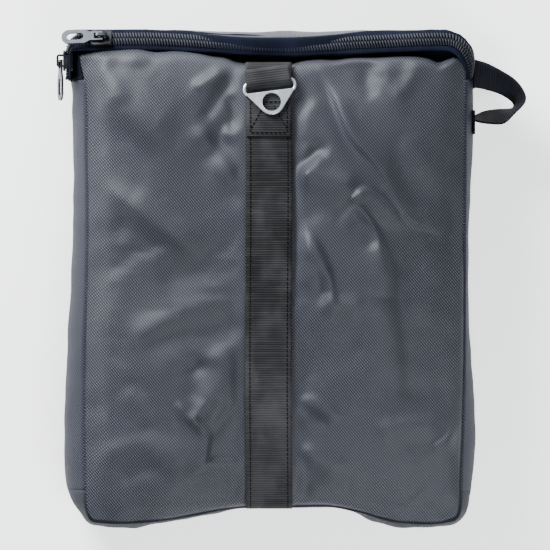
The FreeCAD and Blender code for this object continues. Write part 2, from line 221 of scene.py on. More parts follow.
@dataclass(frozen=True)
class CoatedNylon:
    """Heavy nylon with a fine slanting weave and a dull coating, and painted shade darkening it towards the
    bag's bottom end by the share that foot gives.
    """

    name: str = "slate_nylon"
    dark: tuple[float, ...] = rgb(0.0032, 0.0037, 0.0066)
    light: tuple[float, ...] = rgb(0.086, 0.090, 0.112)
    pitch: float = 0.00176
    roughness: float = 0.56
    gloss: float = 0.32
    # Painted shade: how much the cloth darkens towards the bag's bottom end, and the places below the middle
    # where that darkening starts and is full.
    foot: float = 0.0
    painted_shade_start: float = 0.166
    painted_shade_end: float = 0.197
    relief: float = 0.00035

    def make(self) -> bpy.types.Material:
        """Build the material.

        Returns:
            The new material.
        """
        s = Shade(self.name)
        u, v, _ = s.split(s.cloth())
        turn = math.tau / self.pitch
        jitter = s.noise(s.place(), 900.0, 1.0) * 1.1
        slant = ((u * 0.78 + v * 0.63) * turn + jitter).sin() * 0.5 + 0.5
        cross = ((u * 0.62 - v * 0.78) * (turn * 0.78) + jitter).sin() * 0.5 + 0.5
        weave = slant.power(1.6) * (cross * 0.60 + 0.40)
        cloud = s.noise(s.place(), 9.0, 4.0)
        scuff = s.noise(s.place(), 70.0, 5.0).ramp(0.52, 0.80)
        # Painted shade: the colour darkens towards the bag's bottom end, from one place below the middle to
        # the next.
        _, up, _ = s.split(s.place())
        painted_shade_factor = 1 - (up * -1).ramp(self.painted_shade_start, self.painted_shade_end) * self.foot
        base = s.mix((weave * 0.86 + cloud * 0.20 + scuff * 0.08 - 0.09) * painted_shade_factor, self.dark, self.light)
        rough = cloud * 0.12 + scuff * 0.08 + (self.roughness - 0.10) + weave * 0.06
        return s.finish(Base_Color=base, Roughness=rough, Specular_IOR_Level=self.gloss,
                        Normal=s.bump(weave, self.relief, 0.7))


@dataclass(frozen=True)
class RibbedWebbing:
    """Woven webbing: its mesh has the ribs' shape, the shader paints highlights on the rib tops and mottled
    sheen, and gives the fine yarn.
    """

    name: str
    dark: tuple[float, ...]
    light: tuple[float, ...]
    yarn: float = 0.0011
    roughness: float = 0.70
    gloss: float = 0.13
    # Distance between the painted highlights on the rib tops.
    rib: float = 0.00195
    relief: float = 0.00018

    def make(self) -> bpy.types.Material:
        """Build the material.

        Returns:
            The new material.
        """
        s = Shade(self.name)
        u, v, _ = s.split(s.cloth())
        warp = (u * (math.tau / self.yarn)).sin() * 0.5 + 0.5
        sway = (u * (math.tau / self.yarn)).sin()
        weft = (v * (math.tau / (self.yarn * 1.3)) + sway).sin() * 0.5 + 0.5
        fuzz = s.noise(s.place(), 500.0, 3.0)
        yarns = warp * 0.5 + weft * 0.5
        _, along, _ = s.split(s.place())
        # The webbing is lighter, and its wear noise shows more, the farther it lies from 50 mm up the bag.
        ends = (along - 0.05).abs().ramp(0.04, 0.19)
        wear = s.noise(s.place(), 30.0, 4.0).ramp(0.40, 0.70)
        highlight_streaks = s.noise(s.stretched(s.cloth(), 30.0, 420.0), 1.0, 2.0).ramp(0.38, 0.68)
        # Painted sheen: soft lighter patches of colour stand in for light catching the webbing's
        # undulations.
        painted_sheen_patches = s.noise(s.stretched(s.cloth(), 40.0, 22.0), 1.0, 2.0).ramp(0.42, 0.66)
        # Painted highlight: the rib tops are coloured lighter, more so where the streaks above are strong.
        painted_rib_highlight = (v * (math.tau / self.rib) + math.pi / 2).sin() * 0.5 + 0.5
        share = yarns * 0.18 + fuzz * 0.14 + wear * (ends * 0.30 + 0.12) + ends * 0.26
        rib_highlight_lines = painted_rib_highlight.power(1.4) * (highlight_streaks * 0.40 + 0.22)
        base = s.mix(share + rib_highlight_lines + painted_sheen_patches * 0.34 - 0.12, self.dark, self.light)
        return s.finish(Base_Color=base, Roughness=fuzz * 0.15 + self.roughness - 0.08,
                        Normal=s.bump(yarns * 0.7 + fuzz * 0.3, self.relief, 0.6),
                        Specular_IOR_Level=self.gloss)


@dataclass(frozen=True)
class Moulded:
    """Plastic, thread, liner film, sand or metal with a fine uneven grain."""

    name: str
    dark: tuple[float, ...]
    light: tuple[float, ...]
    roughness: float = 0.4
    metallic: float = 0.0
    grain: float = 300.0
    depth: float = 0.00005
    gloss: float = 0.5

    def make(self) -> bpy.types.Material:
        """Build the material.

        Returns:
            The new material.
        """
        s = Shade(self.name)
        fine = s.noise(s.place(), self.grain, 3.0)
        broad = s.noise(s.place(), self.grain * 0.12, 3.0).ramp(0.35, 0.7)
        base = s.mix(fine * 0.45 + broad * 0.5, self.dark, self.light)
        rough = fine * 0.14 + broad * 0.10 + (self.roughness - 0.12)
        return s.finish(Base_Color=base, Roughness=rough, Metallic=self.metallic,
                        Normal=s.bump(fine, self.depth, 0.5), Specular_IOR_Level=self.gloss)


class Finish(Enum):
    """Every finish on the bag, each made once when it is first asked for."""

    NYLON = CoatedNylon()
    # Painted shade: the gussets' nylon is a darker copy of the front's, and it darkens further towards the
    # bag's bottom end.
    WALL_NYLON = CoatedNylon("painted_shade_nylon", rgb(0.0028, 0.0034, 0.0070), rgb(0.070, 0.076, 0.102),
                             roughness=0.64, gloss=0.14, foot=0.86)
    STRAP = RibbedWebbing("load_webbing", rgb(0.0008, 0.0008, 0.0009), rgb(0.036, 0.0352, 0.0372))
    HANDLE = RibbedWebbing("handle_webbing", rgb(0.0012, 0.0014, 0.0030), rgb(0.014, 0.015, 0.021),
                           gloss=0.10, rib=0.0021)
    TAPE = RibbedWebbing("zip_tape_weave", rgb(0.0010, 0.0014, 0.0040), rgb(0.005, 0.007, 0.017), 0.0008,
                         gloss=0.06)
    BINDING = RibbedWebbing("binding_weave", rgb(0.003, 0.0033, 0.005), rgb(0.016, 0.018, 0.024), 0.0009)
    COIL = Moulded("coil_plastic", rgb(0.006, 0.007, 0.011), rgb(0.022, 0.024, 0.034), 0.52, gloss=0.22)
    THREAD = Moulded("bonded_thread", rgb(0.0008, 0.0008, 0.001), rgb(0.004, 0.004, 0.005), 0.9,
                     grain=1800.0, gloss=0.05)
    SLIDER = Moulded("gunmetal", rgb(0.014, 0.015, 0.018), rgb(0.046, 0.048, 0.056), 0.34, 0.80, 900.0,
                      0.00003)
    RING = Moulded("bright_nickel", rgb(0.48, 0.50, 0.54), rgb(0.76, 0.78, 0.82), 0.26, 0.60, 700.0,
                    0.00002)
    LINER = Moulded("liner_film", rgb(0.30, 0.31, 0.33), rgb(0.45, 0.46, 0.48), 0.5)
    HOOK_TAPE = Moulded("hook_tape", rgb(0.02, 0.02, 0.02), rgb(0.06, 0.06, 0.06), 0.8, grain=900.0)
    SAND = Moulded("dry_sand", rgb(0.36, 0.27, 0.17), rgb(0.66, 0.54, 0.38), 0.9, grain=1100.0,
                   depth=0.0004)

    def material(self) -> bpy.types.Material:
        """The finish's material."""
        return bpy.data.materials.get(self.value.name) or self.value.make()


# ---- mesh helpers --------------------------------------------------------------------
def smooth(t: Array) -> Array:
    """Ease from 0 to 1 with level ends."""
    t = np.clip(t, 0.0, 1.0)
    return t * t * (3.0 - 2.0 * t)


def table(points: tuple[Point, ...], x: Array) -> Array:
    """A smooth curve through (place, value) pairs, read at x.

    Args:
        points: The pairs, by rising place.
        x: Where to read it; places past an end take that end.

    Returns:
        The values at x.
    """
    xs = np.array([p[0] for p in points])
    ys = np.array([p[1] for p in points])
    slopes = np.gradient(ys, xs)
    x = np.clip(x, xs[0], xs[-1])
    i = np.clip(np.searchsorted(xs, x) - 1, 0, len(xs) - 2)
    span = xs[i + 1] - xs[i]
    t = (x - xs[i]) / span
    a, b = slopes[i] * span, slopes[i + 1] * span
    rise = ys[i + 1] - ys[i]
    return ys[i] + a * t + (3 * rise - 2 * a - b) * t ** 2 + (a + b - 2 * rise) * t ** 3


def lengths(line: Array) -> Array:
    """The length along a line at each of its points."""
    steps = np.linalg.norm(np.diff(line, axis=0), axis=1)
    return np.concatenate([[0], np.cumsum(steps)])


def through(points: Array, spacing: float) -> Array:
    """A smooth line through points of any width, at an even spacing in its first three numbers.

    Args:
        points: One row per point, its place first.
        spacing: Rough distance between the new points.

    Returns:
        The new rows.
    """
    points = np.asarray(points, float)
    ends = [2 * points[0] - points[1], 2 * points[-1] - points[-2]]
    p = np.vstack([ends[0], points, ends[1]])
    t = np.linspace(0, 1, SPAN_SAMPLES, endpoint=False)[:, None]
    runs = []
    for a, b, c, d in zip(p, p[1:], p[2:], p[3:]):
        runs.append(0.5 * (2 * b + (c - a) * t + (2 * a - 5 * b + 4 * c - d) * t ** 2
                           + (3 * b - a - 3 * c + d) * t ** 3))
    line = np.vstack(runs + [points[-1:]])
    along = lengths(line[:, :3])
    count = max(2, int(round(along[-1] / spacing)) + 1)
    places = np.linspace(0, along[-1], count)
    return np.stack([np.interp(places, along, line[:, k]) for k in range(line.shape[1])], 1)


def unit(v: Array) -> Array:
    """Rows scaled to length one."""
    return v / np.maximum(np.linalg.norm(v, axis=-1, keepdims=True), 1e-12)


def speckle(points: Array, size: float, seed: float) -> Array:
    """Soft noise from -1 to 1 at points in millimetres."""
    return np.array([noise.noise(Vector((x / size + seed, y / size, z / size))) for x, y, z in points])


def mesh_object(name: str, points: Array, faces: Faces, finish: Finish,
                cut: Array | None = None) -> bpy.types.Object:
    """Make an object from points in millimetres.

    Args:
        name: The piece's name.
        points: One row per vertex.
        faces: Vertex numbers of each face.
        finish: What it is made of.
        cut: The cloth's flat place of each vertex, in millimetres.

    Returns:
        The new object, smooth shaded.
    """
    mesh = bpy.data.meshes.new(name)
    mesh.from_pydata((np.asarray(points) * MM).tolist(), [], faces)
    if cut is not None:
        corners = np.zeros(len(mesh.loops), np.int32)
        mesh.loops.foreach_get("vertex_index", corners)
        layer = mesh.uv_layers.new(name="cut")
        layer.data.foreach_set("uv", (cut[corners] * MM).astype(np.float32).ravel())
    mesh.materials.append(finish.material())
    mesh.shade_smooth()
    mesh.update()
    made = bpy.data.objects.new(name, mesh)
    bpy.context.scene.collection.objects.link(made)
    return made


def grid_faces(rows: int, columns: int, wrap: bool = False, flip: bool = False) -> Faces:
    """Quads of a grid stored row by row.

    Args:
        rows: How many rows of points.
        columns: How many points in a row.
        wrap: Whether the last column joins the first.
        flip: Whether the faces look the other way.

    Returns:
        Each face's vertex numbers.
    """
    across = columns if wrap else columns - 1
    i = np.repeat(np.arange(rows - 1), across)
    j = np.tile(np.arange(across), rows - 1)
    k = (j + 1) % columns
    quads = np.stack([i * columns + j, i * columns + k, (i + 1) * columns + k, (i + 1) * columns + j], 1)
    if flip:
        quads = quads[:, ::-1]
    return [tuple(q) for q in quads.tolist()]


def grid_cut(points: Array) -> Array:
    """Flat cloth places of a (rows, columns, 3) grid, from its own lengths.

    Args:
        points: The grid.

    Returns:
        One place per point, row by row.
    """
    across = np.linalg.norm(np.diff(points, axis=1), axis=2)
    up = np.linalg.norm(np.diff(points, axis=0), axis=2)
    u = np.concatenate([np.zeros((len(points), 1)), np.cumsum(across, 1)], 1)
    u -= u[:, -1:] / 2
    v = np.concatenate([[0], np.cumsum(up.mean(1))])
    return np.stack([u, np.repeat(v[:, None], points.shape[1], 1)], 2).reshape(-1, 2)


def apply_modifier(piece: bpy.types.Object, kind: str, **settings: object) -> None:
    """Add a modifier and apply it.

    Args:
        piece: The object.
        kind: The modifier's type.
        settings: Its properties by name.
    """
    bpy.ops.object.select_all(action="DESELECT")
    bpy.context.view_layer.objects.active = piece
    piece.select_set(True)
    made = piece.modifiers.new(kind.title(), kind)
    for key, value in settings.items():
        setattr(made, key, value)
    bpy.ops.object.modifier_apply(modifier=made.name)


def cloth_piece(name: str, grid: Array, finish: Finish, thick: float,
                cut: Array | None = None) -> bpy.types.Object:
    """A sewn panel from a grid of outer-face points, given its thickness inwards.

    Args:
        name: The piece's name.
        grid: Rows of points of its outer face.
        finish: What it is made of.
        thick: Its thickness.
        cut: Each point's place on the flat cloth, if not by its own lengths.

    Returns:
        The panel as a closed mesh.
    """
    rows, columns, _ = grid.shape
    flat = grid_cut(grid) if cut is None else cut
    piece = mesh_object(name, grid.reshape(-1, 3), grid_faces(rows, columns), finish, flat)
    apply_modifier(piece, "SOLIDIFY", thickness=thick * MM, offset=-1.0)
    return piece


def ribbon(name: str, line: Array, across: Array, half: float, thick: float, finish: Finish,
           rib: float = 0.0, pitch: float = 2.9, columns: int = 14) -> bpy.types.Object:
    """Webbing along a line.

    Args:
        name: The piece's name.
        line: Middle of its outer face.
        across: Unit vectors over its width, from left to right.
        half: Half its width, one number or one per point.
        thick: Its thickness.
        finish: What it is woven of.
        rib: How far the ribs stand out.
        pitch: Distance between ribs.
        columns: Points over the width.

    Returns:
        The webbing as a closed mesh.
    """
    ahead = unit(np.gradient(line, axis=0))
    out = unit(np.cross(across, ahead))
    along = lengths(line)
    spread = np.linspace(-1, 1, columns)
    wave = rib * np.cos(math.tau * along / pitch)
    # The ribs are lower in the outer tenth of the width, where the edge is bound.
    inner = 0.35 + 0.65 * smooth((1 - np.abs(spread)) / 0.10)
    half = np.broadcast_to(np.asarray(half, float), len(line))
    flat = line[:, None] + across[:, None] * (half[:, None] * spread)[..., None]
    lift = wave[:, None] * inner[None, :] + rib * 0.9 * (1 - inner[None, :])
    top = flat + out[:, None] * lift[..., None]
    under = flat - out[:, None] * (thick - 0.5 * lift[..., None])
    ring = np.concatenate([top, under[:, ::-1]], 1)
    rows, width, _ = ring.shape
    faces = grid_faces(rows, width, wrap=True)
    faces += [tuple(range(width))[::-1], tuple(range((rows - 1) * width, rows * width))]
    u = np.concatenate([half[:, None] * spread, half[:, None] * spread[::-1]], 1)
    cut = np.stack([u, np.repeat(along[:, None], width, 1)], 2).reshape(-1, 2)
    return mesh_object(name, ring.reshape(-1, 3), faces, finish, cut)


NO_LINE_RUNS_THIS_WAY = np.array([0.31, 0.17, 0.93])


def tube_rings(line: Array, radius: Array | float, sides: int) -> Shape:
    """Points and faces of a closed tube along a line.

    Args:
        line: Its middle.
        radius: One number or one per point.
        sides: Points round it.

    Returns:
        Its points and faces.
    """
    ahead = unit(np.gradient(line, axis=0))
    side = unit(np.cross(ahead, NO_LINE_RUNS_THIS_WAY))
    up = np.cross(side, ahead)
    turn = np.linspace(0, math.tau, sides, endpoint=False)
    radius = np.broadcast_to(np.asarray(radius, float), len(line))
    ring = np.cos(turn)[None, :, None] * side[:, None] + np.sin(turn)[None, :, None] * up[:, None]
    points = line[:, None] + ring * radius[:, None, None]
    faces = grid_faces(len(line), sides, wrap=True, flip=True)
    last = (len(line) - 1) * sides
    faces += [tuple(range(sides)), tuple(range(last, last + sides))[::-1]]
    return points.reshape(-1, 3), faces


def joined(name: str, parts: list[Shape], finish: Finish) -> bpy.types.Object:
    """One object from many small closed shapes.

    Args:
        name: The object's name.
        parts: Points and faces of each shape.
        finish: What they are made of.

    Returns:
        The object.
    """
    points, faces, start = [], [], 0
    for block, quads in parts:
        points.append(block)
        faces += [tuple(i + start for i in quad) for quad in quads]
        start += len(block)
    return mesh_object(name, np.vstack(points), faces, finish)


# Five points along a stitch: place as a share of its length, height over the cloth, share of its radius.
STITCH_PLACES = np.array([-0.5, -0.36, 0.0, 0.36, 0.5])
STITCH_HEIGHTS = np.array([-0.55, 0.05, 0.22, 0.05, -0.55])
STITCH_GIRTHS = np.array([0.7, 1, 1, 1, 0.7])


def stitches(line: Array, out: Array, pitch: float = 3.7, length: float = 2.7,
             radius: float = 0.38) -> list[Shape]:
    """Separate stitches along a line, each dipping into the cloth at both ends.

    Args:
        line: The row of stitches on the cloth.
        out: The direction away from the cloth at each point.
        pitch: Distance between stitches.
        length: Length of a stitch.
        radius: The thread's radius.

    Returns:
        Points and faces of each stitch.
    """
    along = lengths(line)
    made = []
    for middle in np.arange(pitch / 2, along[-1], pitch):
        places = middle + STITCH_PLACES * length
        points = np.stack([np.interp(places, along, line[:, k]) for k in range(3)], 1)
        normal = unit(np.stack([np.interp(places, along, out[:, k]) for k in range(3)], 1))
        points += normal * STITCH_HEIGHTS[:, None]
        made.append(tube_rings(points, radius * STITCH_GIRTHS, 6))
    return made


# ---- the bag's cloth body ------------------------------------------------------------
EDGE_Z, RISE = 64.0, 26.0
HALF_WIDTH, HALF_LENGTH = 168.0, 207.0


def crown(x: Array, y: Array) -> Array:
    """Height of the filled front, without its folds."""
    return EDGE_Z + RISE * (1 - (x / HALF_WIDTH) ** 4) * (1 - (y / HALF_LENGTH) ** 4)


# A fold that spreads less than SHARP to one side is a crease, any other a ridge or a dent.
SHARP, CREASE_GAIN, RIDGE_GAIN = 4.5, 1.6, 1.55


@dataclass(frozen=True)
class Fold:
    """One crease or ridge: its line, its height and how far it spreads to each side."""

    line: tuple[Point, ...]
    height: float
    left: float
    right: float
    fade: float = 0.25

    def lift(self, x: Array, y: Array) -> Array:
        """How far it lifts the cloth at each point.

        Args:
            x: Places across the bag.
            y: Places up the bag.

        Returns:
            The lift at each place.
        """
        path = through(np.array([(a, b, 0.0) for a, b in self.line]), 3.0)[:, :2]
        start, end = path[:-1], path[1:]
        span = end - start
        length = np.linalg.norm(span, axis=1)
        along = np.concatenate([[0], np.cumsum(length)])
        reach = 2.6 * max(self.left, self.right)
        near = ((x > path[:, 0].min() - reach) & (x < path[:, 0].max() + reach)
                & (y > path[:, 1].min() - reach) & (y < path[:, 1].max() + reach))
        px, py = x[near], y[near]
        best, side, place = np.full(px.shape, 1e9), np.zeros(px.shape), np.zeros(px.shape)
        for k in range(len(start)):
            dx, dy = px - start[k, 0], py - start[k, 1]
            t = np.clip((dx * span[k, 0] + dy * span[k, 1]) / length[k] ** 2, 0, 1)
            ex, ey = dx - t * span[k, 0], dy - t * span[k, 1]
            distance = np.hypot(ex, ey)
            closer = distance < best
            best = np.where(closer, distance, best)
            side = np.where(closer, span[k, 0] * dy - span[k, 1] * dx, side)
            place = np.where(closer, along[k] + t * length[k], place)
        width = np.where(side > 0, self.left, self.right)
        # The lift fades over the first and last parts of the line, but not to nothing.
        share = place / along[-1]
        taper = smooth(share / self.fade) * smooth((1 - share) / self.fade)
        result = np.zeros(x.shape)
        gain = CREASE_GAIN if min(self.left, self.right) < SHARP else RIDGE_GAIN
        result[near] = gain * self.height * np.exp(-(best / width) ** 2 * 1.2) * (0.15 + 0.85 * taper)
        return result


# Each fold's line runs in millimetres over the front. Left and right are seen along it.
FOLDS: tuple[Fold, ...] = (
    Fold(((-24, 140), (-38, 118), (-54, 90)), -3.4, 12, 12),
    Fold(((24, 60), (44, 62), (70, 56)), -3.2, 14, 14),
    Fold(((-30, 30), (-60, 8), (-96, 2)), -2.6, 16, 16),
    Fold(((26, -60), (50, -64), (80, -56)), -2.0, 14, 18),
    Fold(((118, -40), (132, -10), (138, 30)), 2.0, 14, 14),
    Fold(((-60, -62), (-62, -84), (-66, -104)), -2.2, 9, 9),
    Fold(((-150, 152), (-131, 144), (-104, 128), (-77, 112)), 4.2, 26, 15),
    Fold(((14, 86), (45, 81), (76, 70)), 5.6, 10, 25),
    Fold(((82, 40), (92, 0), (104, -60), (103, -100)), 3.4, 11, 24),
    Fold(((71, 68), (96, 53), (117, 49), (150, 56)), 1.9, 10, 10),
    Fold(((18, -134), (40, -152), (60, -167)), 2.8, 10, 12),
    Fold(((-34, -58), (-38, -84), (-50, -108)), 2.4, 12, 10),
    Fold(((-98, -148), (-75, -145), (-55, -142)), 2.4, 9, 11),
    Fold(((20, 32), (33, 18), (46, -4)), 3.0, 9, 11),
    Fold(((42, 172), (53, 151), (67, 118), (86, 97), (97.5, 78), (107, 61), (120, 46), (153, 36)),
         2.6, 10, 3.0),
    Fold(((42, 166), (52, 145), (64, 114), (82, 91)), -1.8, 3.0, 9),
    Fold(((67, 65), (77.6, 72), (92, 64), (109, 47)), 3.2, 3.0, 9),
    Fold(((66, 64), (72, 66), (77.6, 71)), 2.6, 3, 6),
    Fold(((61, 47), (74, 57), (87.5, 37), (95, 15), (104, -17)), 2.8, 3.5, 10),
    Fold(((70, 52), (82, 40), (88, 22)), -2.2, 4, 8),
    Fold(((20, 80), (33, 90), (46, 100)), 1.9, 6, 8),
    Fold(((19, 128), (27, 128), (43, 148)), 1.8, 6, 8),
    Fold(((24, 118), (34, 110), (52, 104)), -1.6, 7, 9),
    Fold(((19, 100), (30, 95), (44, 112)), -2.0, 5, 6),
    Fold(((24, 33), (36, 30), (49.5, -2), (52, -30)), 2.6, 4, 9),
    Fold(((38, -20), (60, -22), (80, -26)), 2.8, 9, 11),
    Fold(((30, 20), (42, 0), (46, -30)), -1.8, 8, 5),
    Fold(((18, -106), (30, -100), (44, -104), (60, -118)), 2.2, 5, 10),
    Fold(((20, -118), (34, -114), (50, -122)), -1.4, 7, 7),
    Fold(((83, -126), (118, -121), (149, -122)), 2.8, 9, 12),
    Fold(((132, -142), (146, -134), (159, -121)), 2.6, 5, 8),
    Fold(((104, -90), (128, -96), (152, -92)), -1.4, 12, 9),
    Fold(((96, 6), (103, -20), (110, -60), (112, -90)), -1.8, 7, 12),
    Fold(((112, 120), (128, 96), (146, 84)), 1.6, 12, 14),
    Fold(((-63, 154), (-48, 164), (-36, 172)), 3.4, 5, 9),
    Fold(((-55, 128), (-44, 146), (-30, 168)), -3.0, 6, 8),
    Fold(((-63, 128), (-51, 112), (-36, 90), (-21, 76)), 3.2, 8, 11),
    Fold(((-40, 120), (-26, 118), (-20, 122)), 3.0, 7, 7),
    Fold(((-34, 150), (-26, 136), (-20, 130)), -2.4, 6, 6),
    Fold(((-141, 79), (-113, 60), (-92, 45), (-70, 31), (-49, 18)), 2.9, 13, 9),
    Fold(((-130, 50), (-106, 33), (-84, 20)), -1.4, 9, 12),
    Fold(((-118, -54), (-99, -43), (-78, -33), (-49, -26), (-26, -29)), 2.3, 13, 8),
    Fold(((-110, -66), (-80, -50), (-49, -45), (-21, -31)), -1.2, 9, 13),
    Fold(((-60, -76), (-40, -62), (-20, -56)), 1.0, 6, 9),
    Fold(((-84, -84), (-62, -74), (-44, -72)), -1.8, 7, 8),
    Fold(((-25, -92), (-36, -109), (-49, -129), (-54.5, -152), (-67, -168.5)), 2.8, 3.2, 8),
    Fold(((-78, -100), (-61, -116.5), (-49.6, -128)), 2.2, 3.2, 6),
    Fold(((-49, -100), (-60, -115), (-66, -122)), 1.8, 3, 6),
    Fold(((-30, -96), (-44, -118), (-52, -136)), -2.4, 6, 4),
    Fold(((-60, -153), (-38, -152), (-14, -150)), 2.2, 4, 8),
    Fold(((-147, -151), (-115, -138), (-82, -136), (-53, -136.5)), 1.3, 8, 11),
    Fold(((-130, -168), (-100, -158), (-74, -160)), -1.6, 9, 9),
    Fold(((-120, -90), (-104, -108), (-96, -124)), 1.5, 8, 12),
    Fold(((-146, 176), (-128, 160), (-120, 140)), 1.8, 8, 12),
    Fold(((-132, 10), (-128, -20), (-134, -50)), 1.4, 12, 14),
    Fold(((120, 172), (112, 156), (100, 146)), 1.8, 6, 9),
    Fold(((84, 178), (80, 160), (86, 146)), -1.6, 7, 8),
    Fold(((24, -140), (46, -146), (70, -160)), 1.8, 7, 10),
    Fold(((30, -176), (48, -172), (66, -176)), 1.6, 5, 7),
)

# The hem's place across the bag, and the front seam along both sides and the bottom.
HEM: tuple[Point, ...] = (
    (-160, 187), (-152, 188.6), (-140, 189.4), (-124, 190.2), (-106, 190.2), (-94, 187.6), (-78, 188.6),
    (-57, 186), (-46, 183.4), (-36, 182), (-27, 178.4), (-20, 177.2), (0, 176.8), (20, 176.8), (26, 178.6),
    (42, 180.6), (54, 180.2), (67, 182), (88, 182.4), (108, 183.6), (124, 183.4), (133, 181.4),
    (140, 178.6), (147, 181.6), (154, 184.4), (163, 180))
LEFT_SEAM: tuple[Point, ...] = (
    (-202, -145), (-197, -148), (-188, -150.5), (-178, -151.5), (-158, -152), (-134, -152.5),
    (-101, -152.5), (-18, -151), (20, -150), (73, -150), (100, -150.5), (147, -151),
    (165, -152.6), (176, -155), (190, -157))
RIGHT_SEAM: tuple[Point, ...] = (
    (-202, 153.5), (-196, 156), (-187, 157.6), (-172, 158), (-150, 158.5), (-134, 159.2),
    (-101, 160.3), (-68, 161), (40, 161.3), (105, 161.5), (130, 161.8), (165, 162.4), (176, 161), (190, 158))
BOTTOM_SEAM: tuple[Point, ...] = (
    (-153, -196.5), (-146, -199.6), (-138, -200.9), (-122, -201.6), (-98, -200.3), (-80, -198.2),
    (-70, -196.4), (-44, -191.4), (-20, -188.2), (19, -187.8), (50, -187.4), (75, -192.4),
    (92, -197.4), (105, -200.3), (130, -202), (147, -200.4), (155, -197.2), (158, -195))
# The gusset's widest line, from the left zip leg round the bottom to the right zip leg.
WAIST: tuple[tuple[float, float, float, float], ...] = (
    (-151.5, 163.5, -163, 163.5), (-151, 147, -162, 147), (-150.5, 100, -161, 100), (-150, 73, -160.5, 73),
    (-150, 20, -162, 20), (-151, -18, -163.5, -18), (-152.5, -60, -165.8, -60), (-152.5, -101, -167.5, -101),
    (-152.5, -134, -168.3, -134), (-152, -158, -167.7, -158), (-151.3, -176, -165, -176),
    (-150.5, -188, -158.5, -190.5), (-146.5, -198.8, -150, -200.8), (-138, -200.9, -140, -203.8),
    (-122, -201.6, -122, -204.8), (-98, -200.3, -98, -203.4), (-70, -196.4, -71, -198.3),
    (-44, -191.4, -44, -192.4), (-20, -188.2, -20, -189), (19, -187.8, 19, -188.7), (50, -187.4, 50, -188.4),
    (75, -192.4, 74, -194), (92, -197.4, 90, -200.8), (105, -200.3, 104, -204.6), (130, -202, 130, -205.4),
    (147, -200.4, 150, -204), (155, -197.2, 159.5, -199), (157.6, -187, 164.8, -188),
    (158, -172, 167.2, -172),
    (158.5, -150, 168.8, -150), (159.2, -134, 169.3, -130), (160.3, -101, 169, -101), (161, -68, 166.5, -68),
    (161.3, -18, 164.2, -18), (161.3, 40, 164.4, 40), (161.5, 80, 166.0, 80), (161.5, 105, 167.8, 105),
    (161.8, 130, 168.3, 130), (162.4, 163.5, 168.0, 163.5))
# The upper edge of the cloth behind the zip, from the right leg round the end to the left leg.
REAR_EDGE: tuple[tuple[float, float, float], ...] = (
    (166.4, 163.5, 37), (166.6, 172, 37), (166.2, 182, 38), (163, 191, 41), (157, 198, 45),
    (146, 202.4, 48.5), (120, 203.4, 49.6), (85, 203.2, 52), (52, 199.6, 59.5), (20, 197.6, 62),
    (-20, 197.8, 62), (-50, 200.2, 59.5), (-85, 203.2, 52), (-120, 203.4, 49.6), (-144, 202.6, 48.5),
    (-155, 199.6, 44), (-162, 195, 40), (-165.4, 188.5, 37.4), (-166, 178, 36.8), (-165, 163.5, 37))


def from_sides(x: Array, y: Array) -> Array:
    """Distance from the nearer side seam."""
    return np.minimum(x - table(LEFT_SEAM, y), table(RIGHT_SEAM, y) - x)


def from_foot(x: Array, y: Array) -> Array:
    """Distance from the bottom seam."""
    return y - table(BOTTOM_SEAM, x)


def from_hem(x: Array, y: Array) -> Array:
    """Distance from the hem."""
    return table(HEM, x) - y


def round_roll(distance: Array, radius: float) -> Array:
    """A quarter circle's rise from 0 at an edge to 1 at its radius."""
    return np.sqrt(np.clip(1 - np.clip(1 - distance / radius, 0, 1) ** 2, 0, 1))


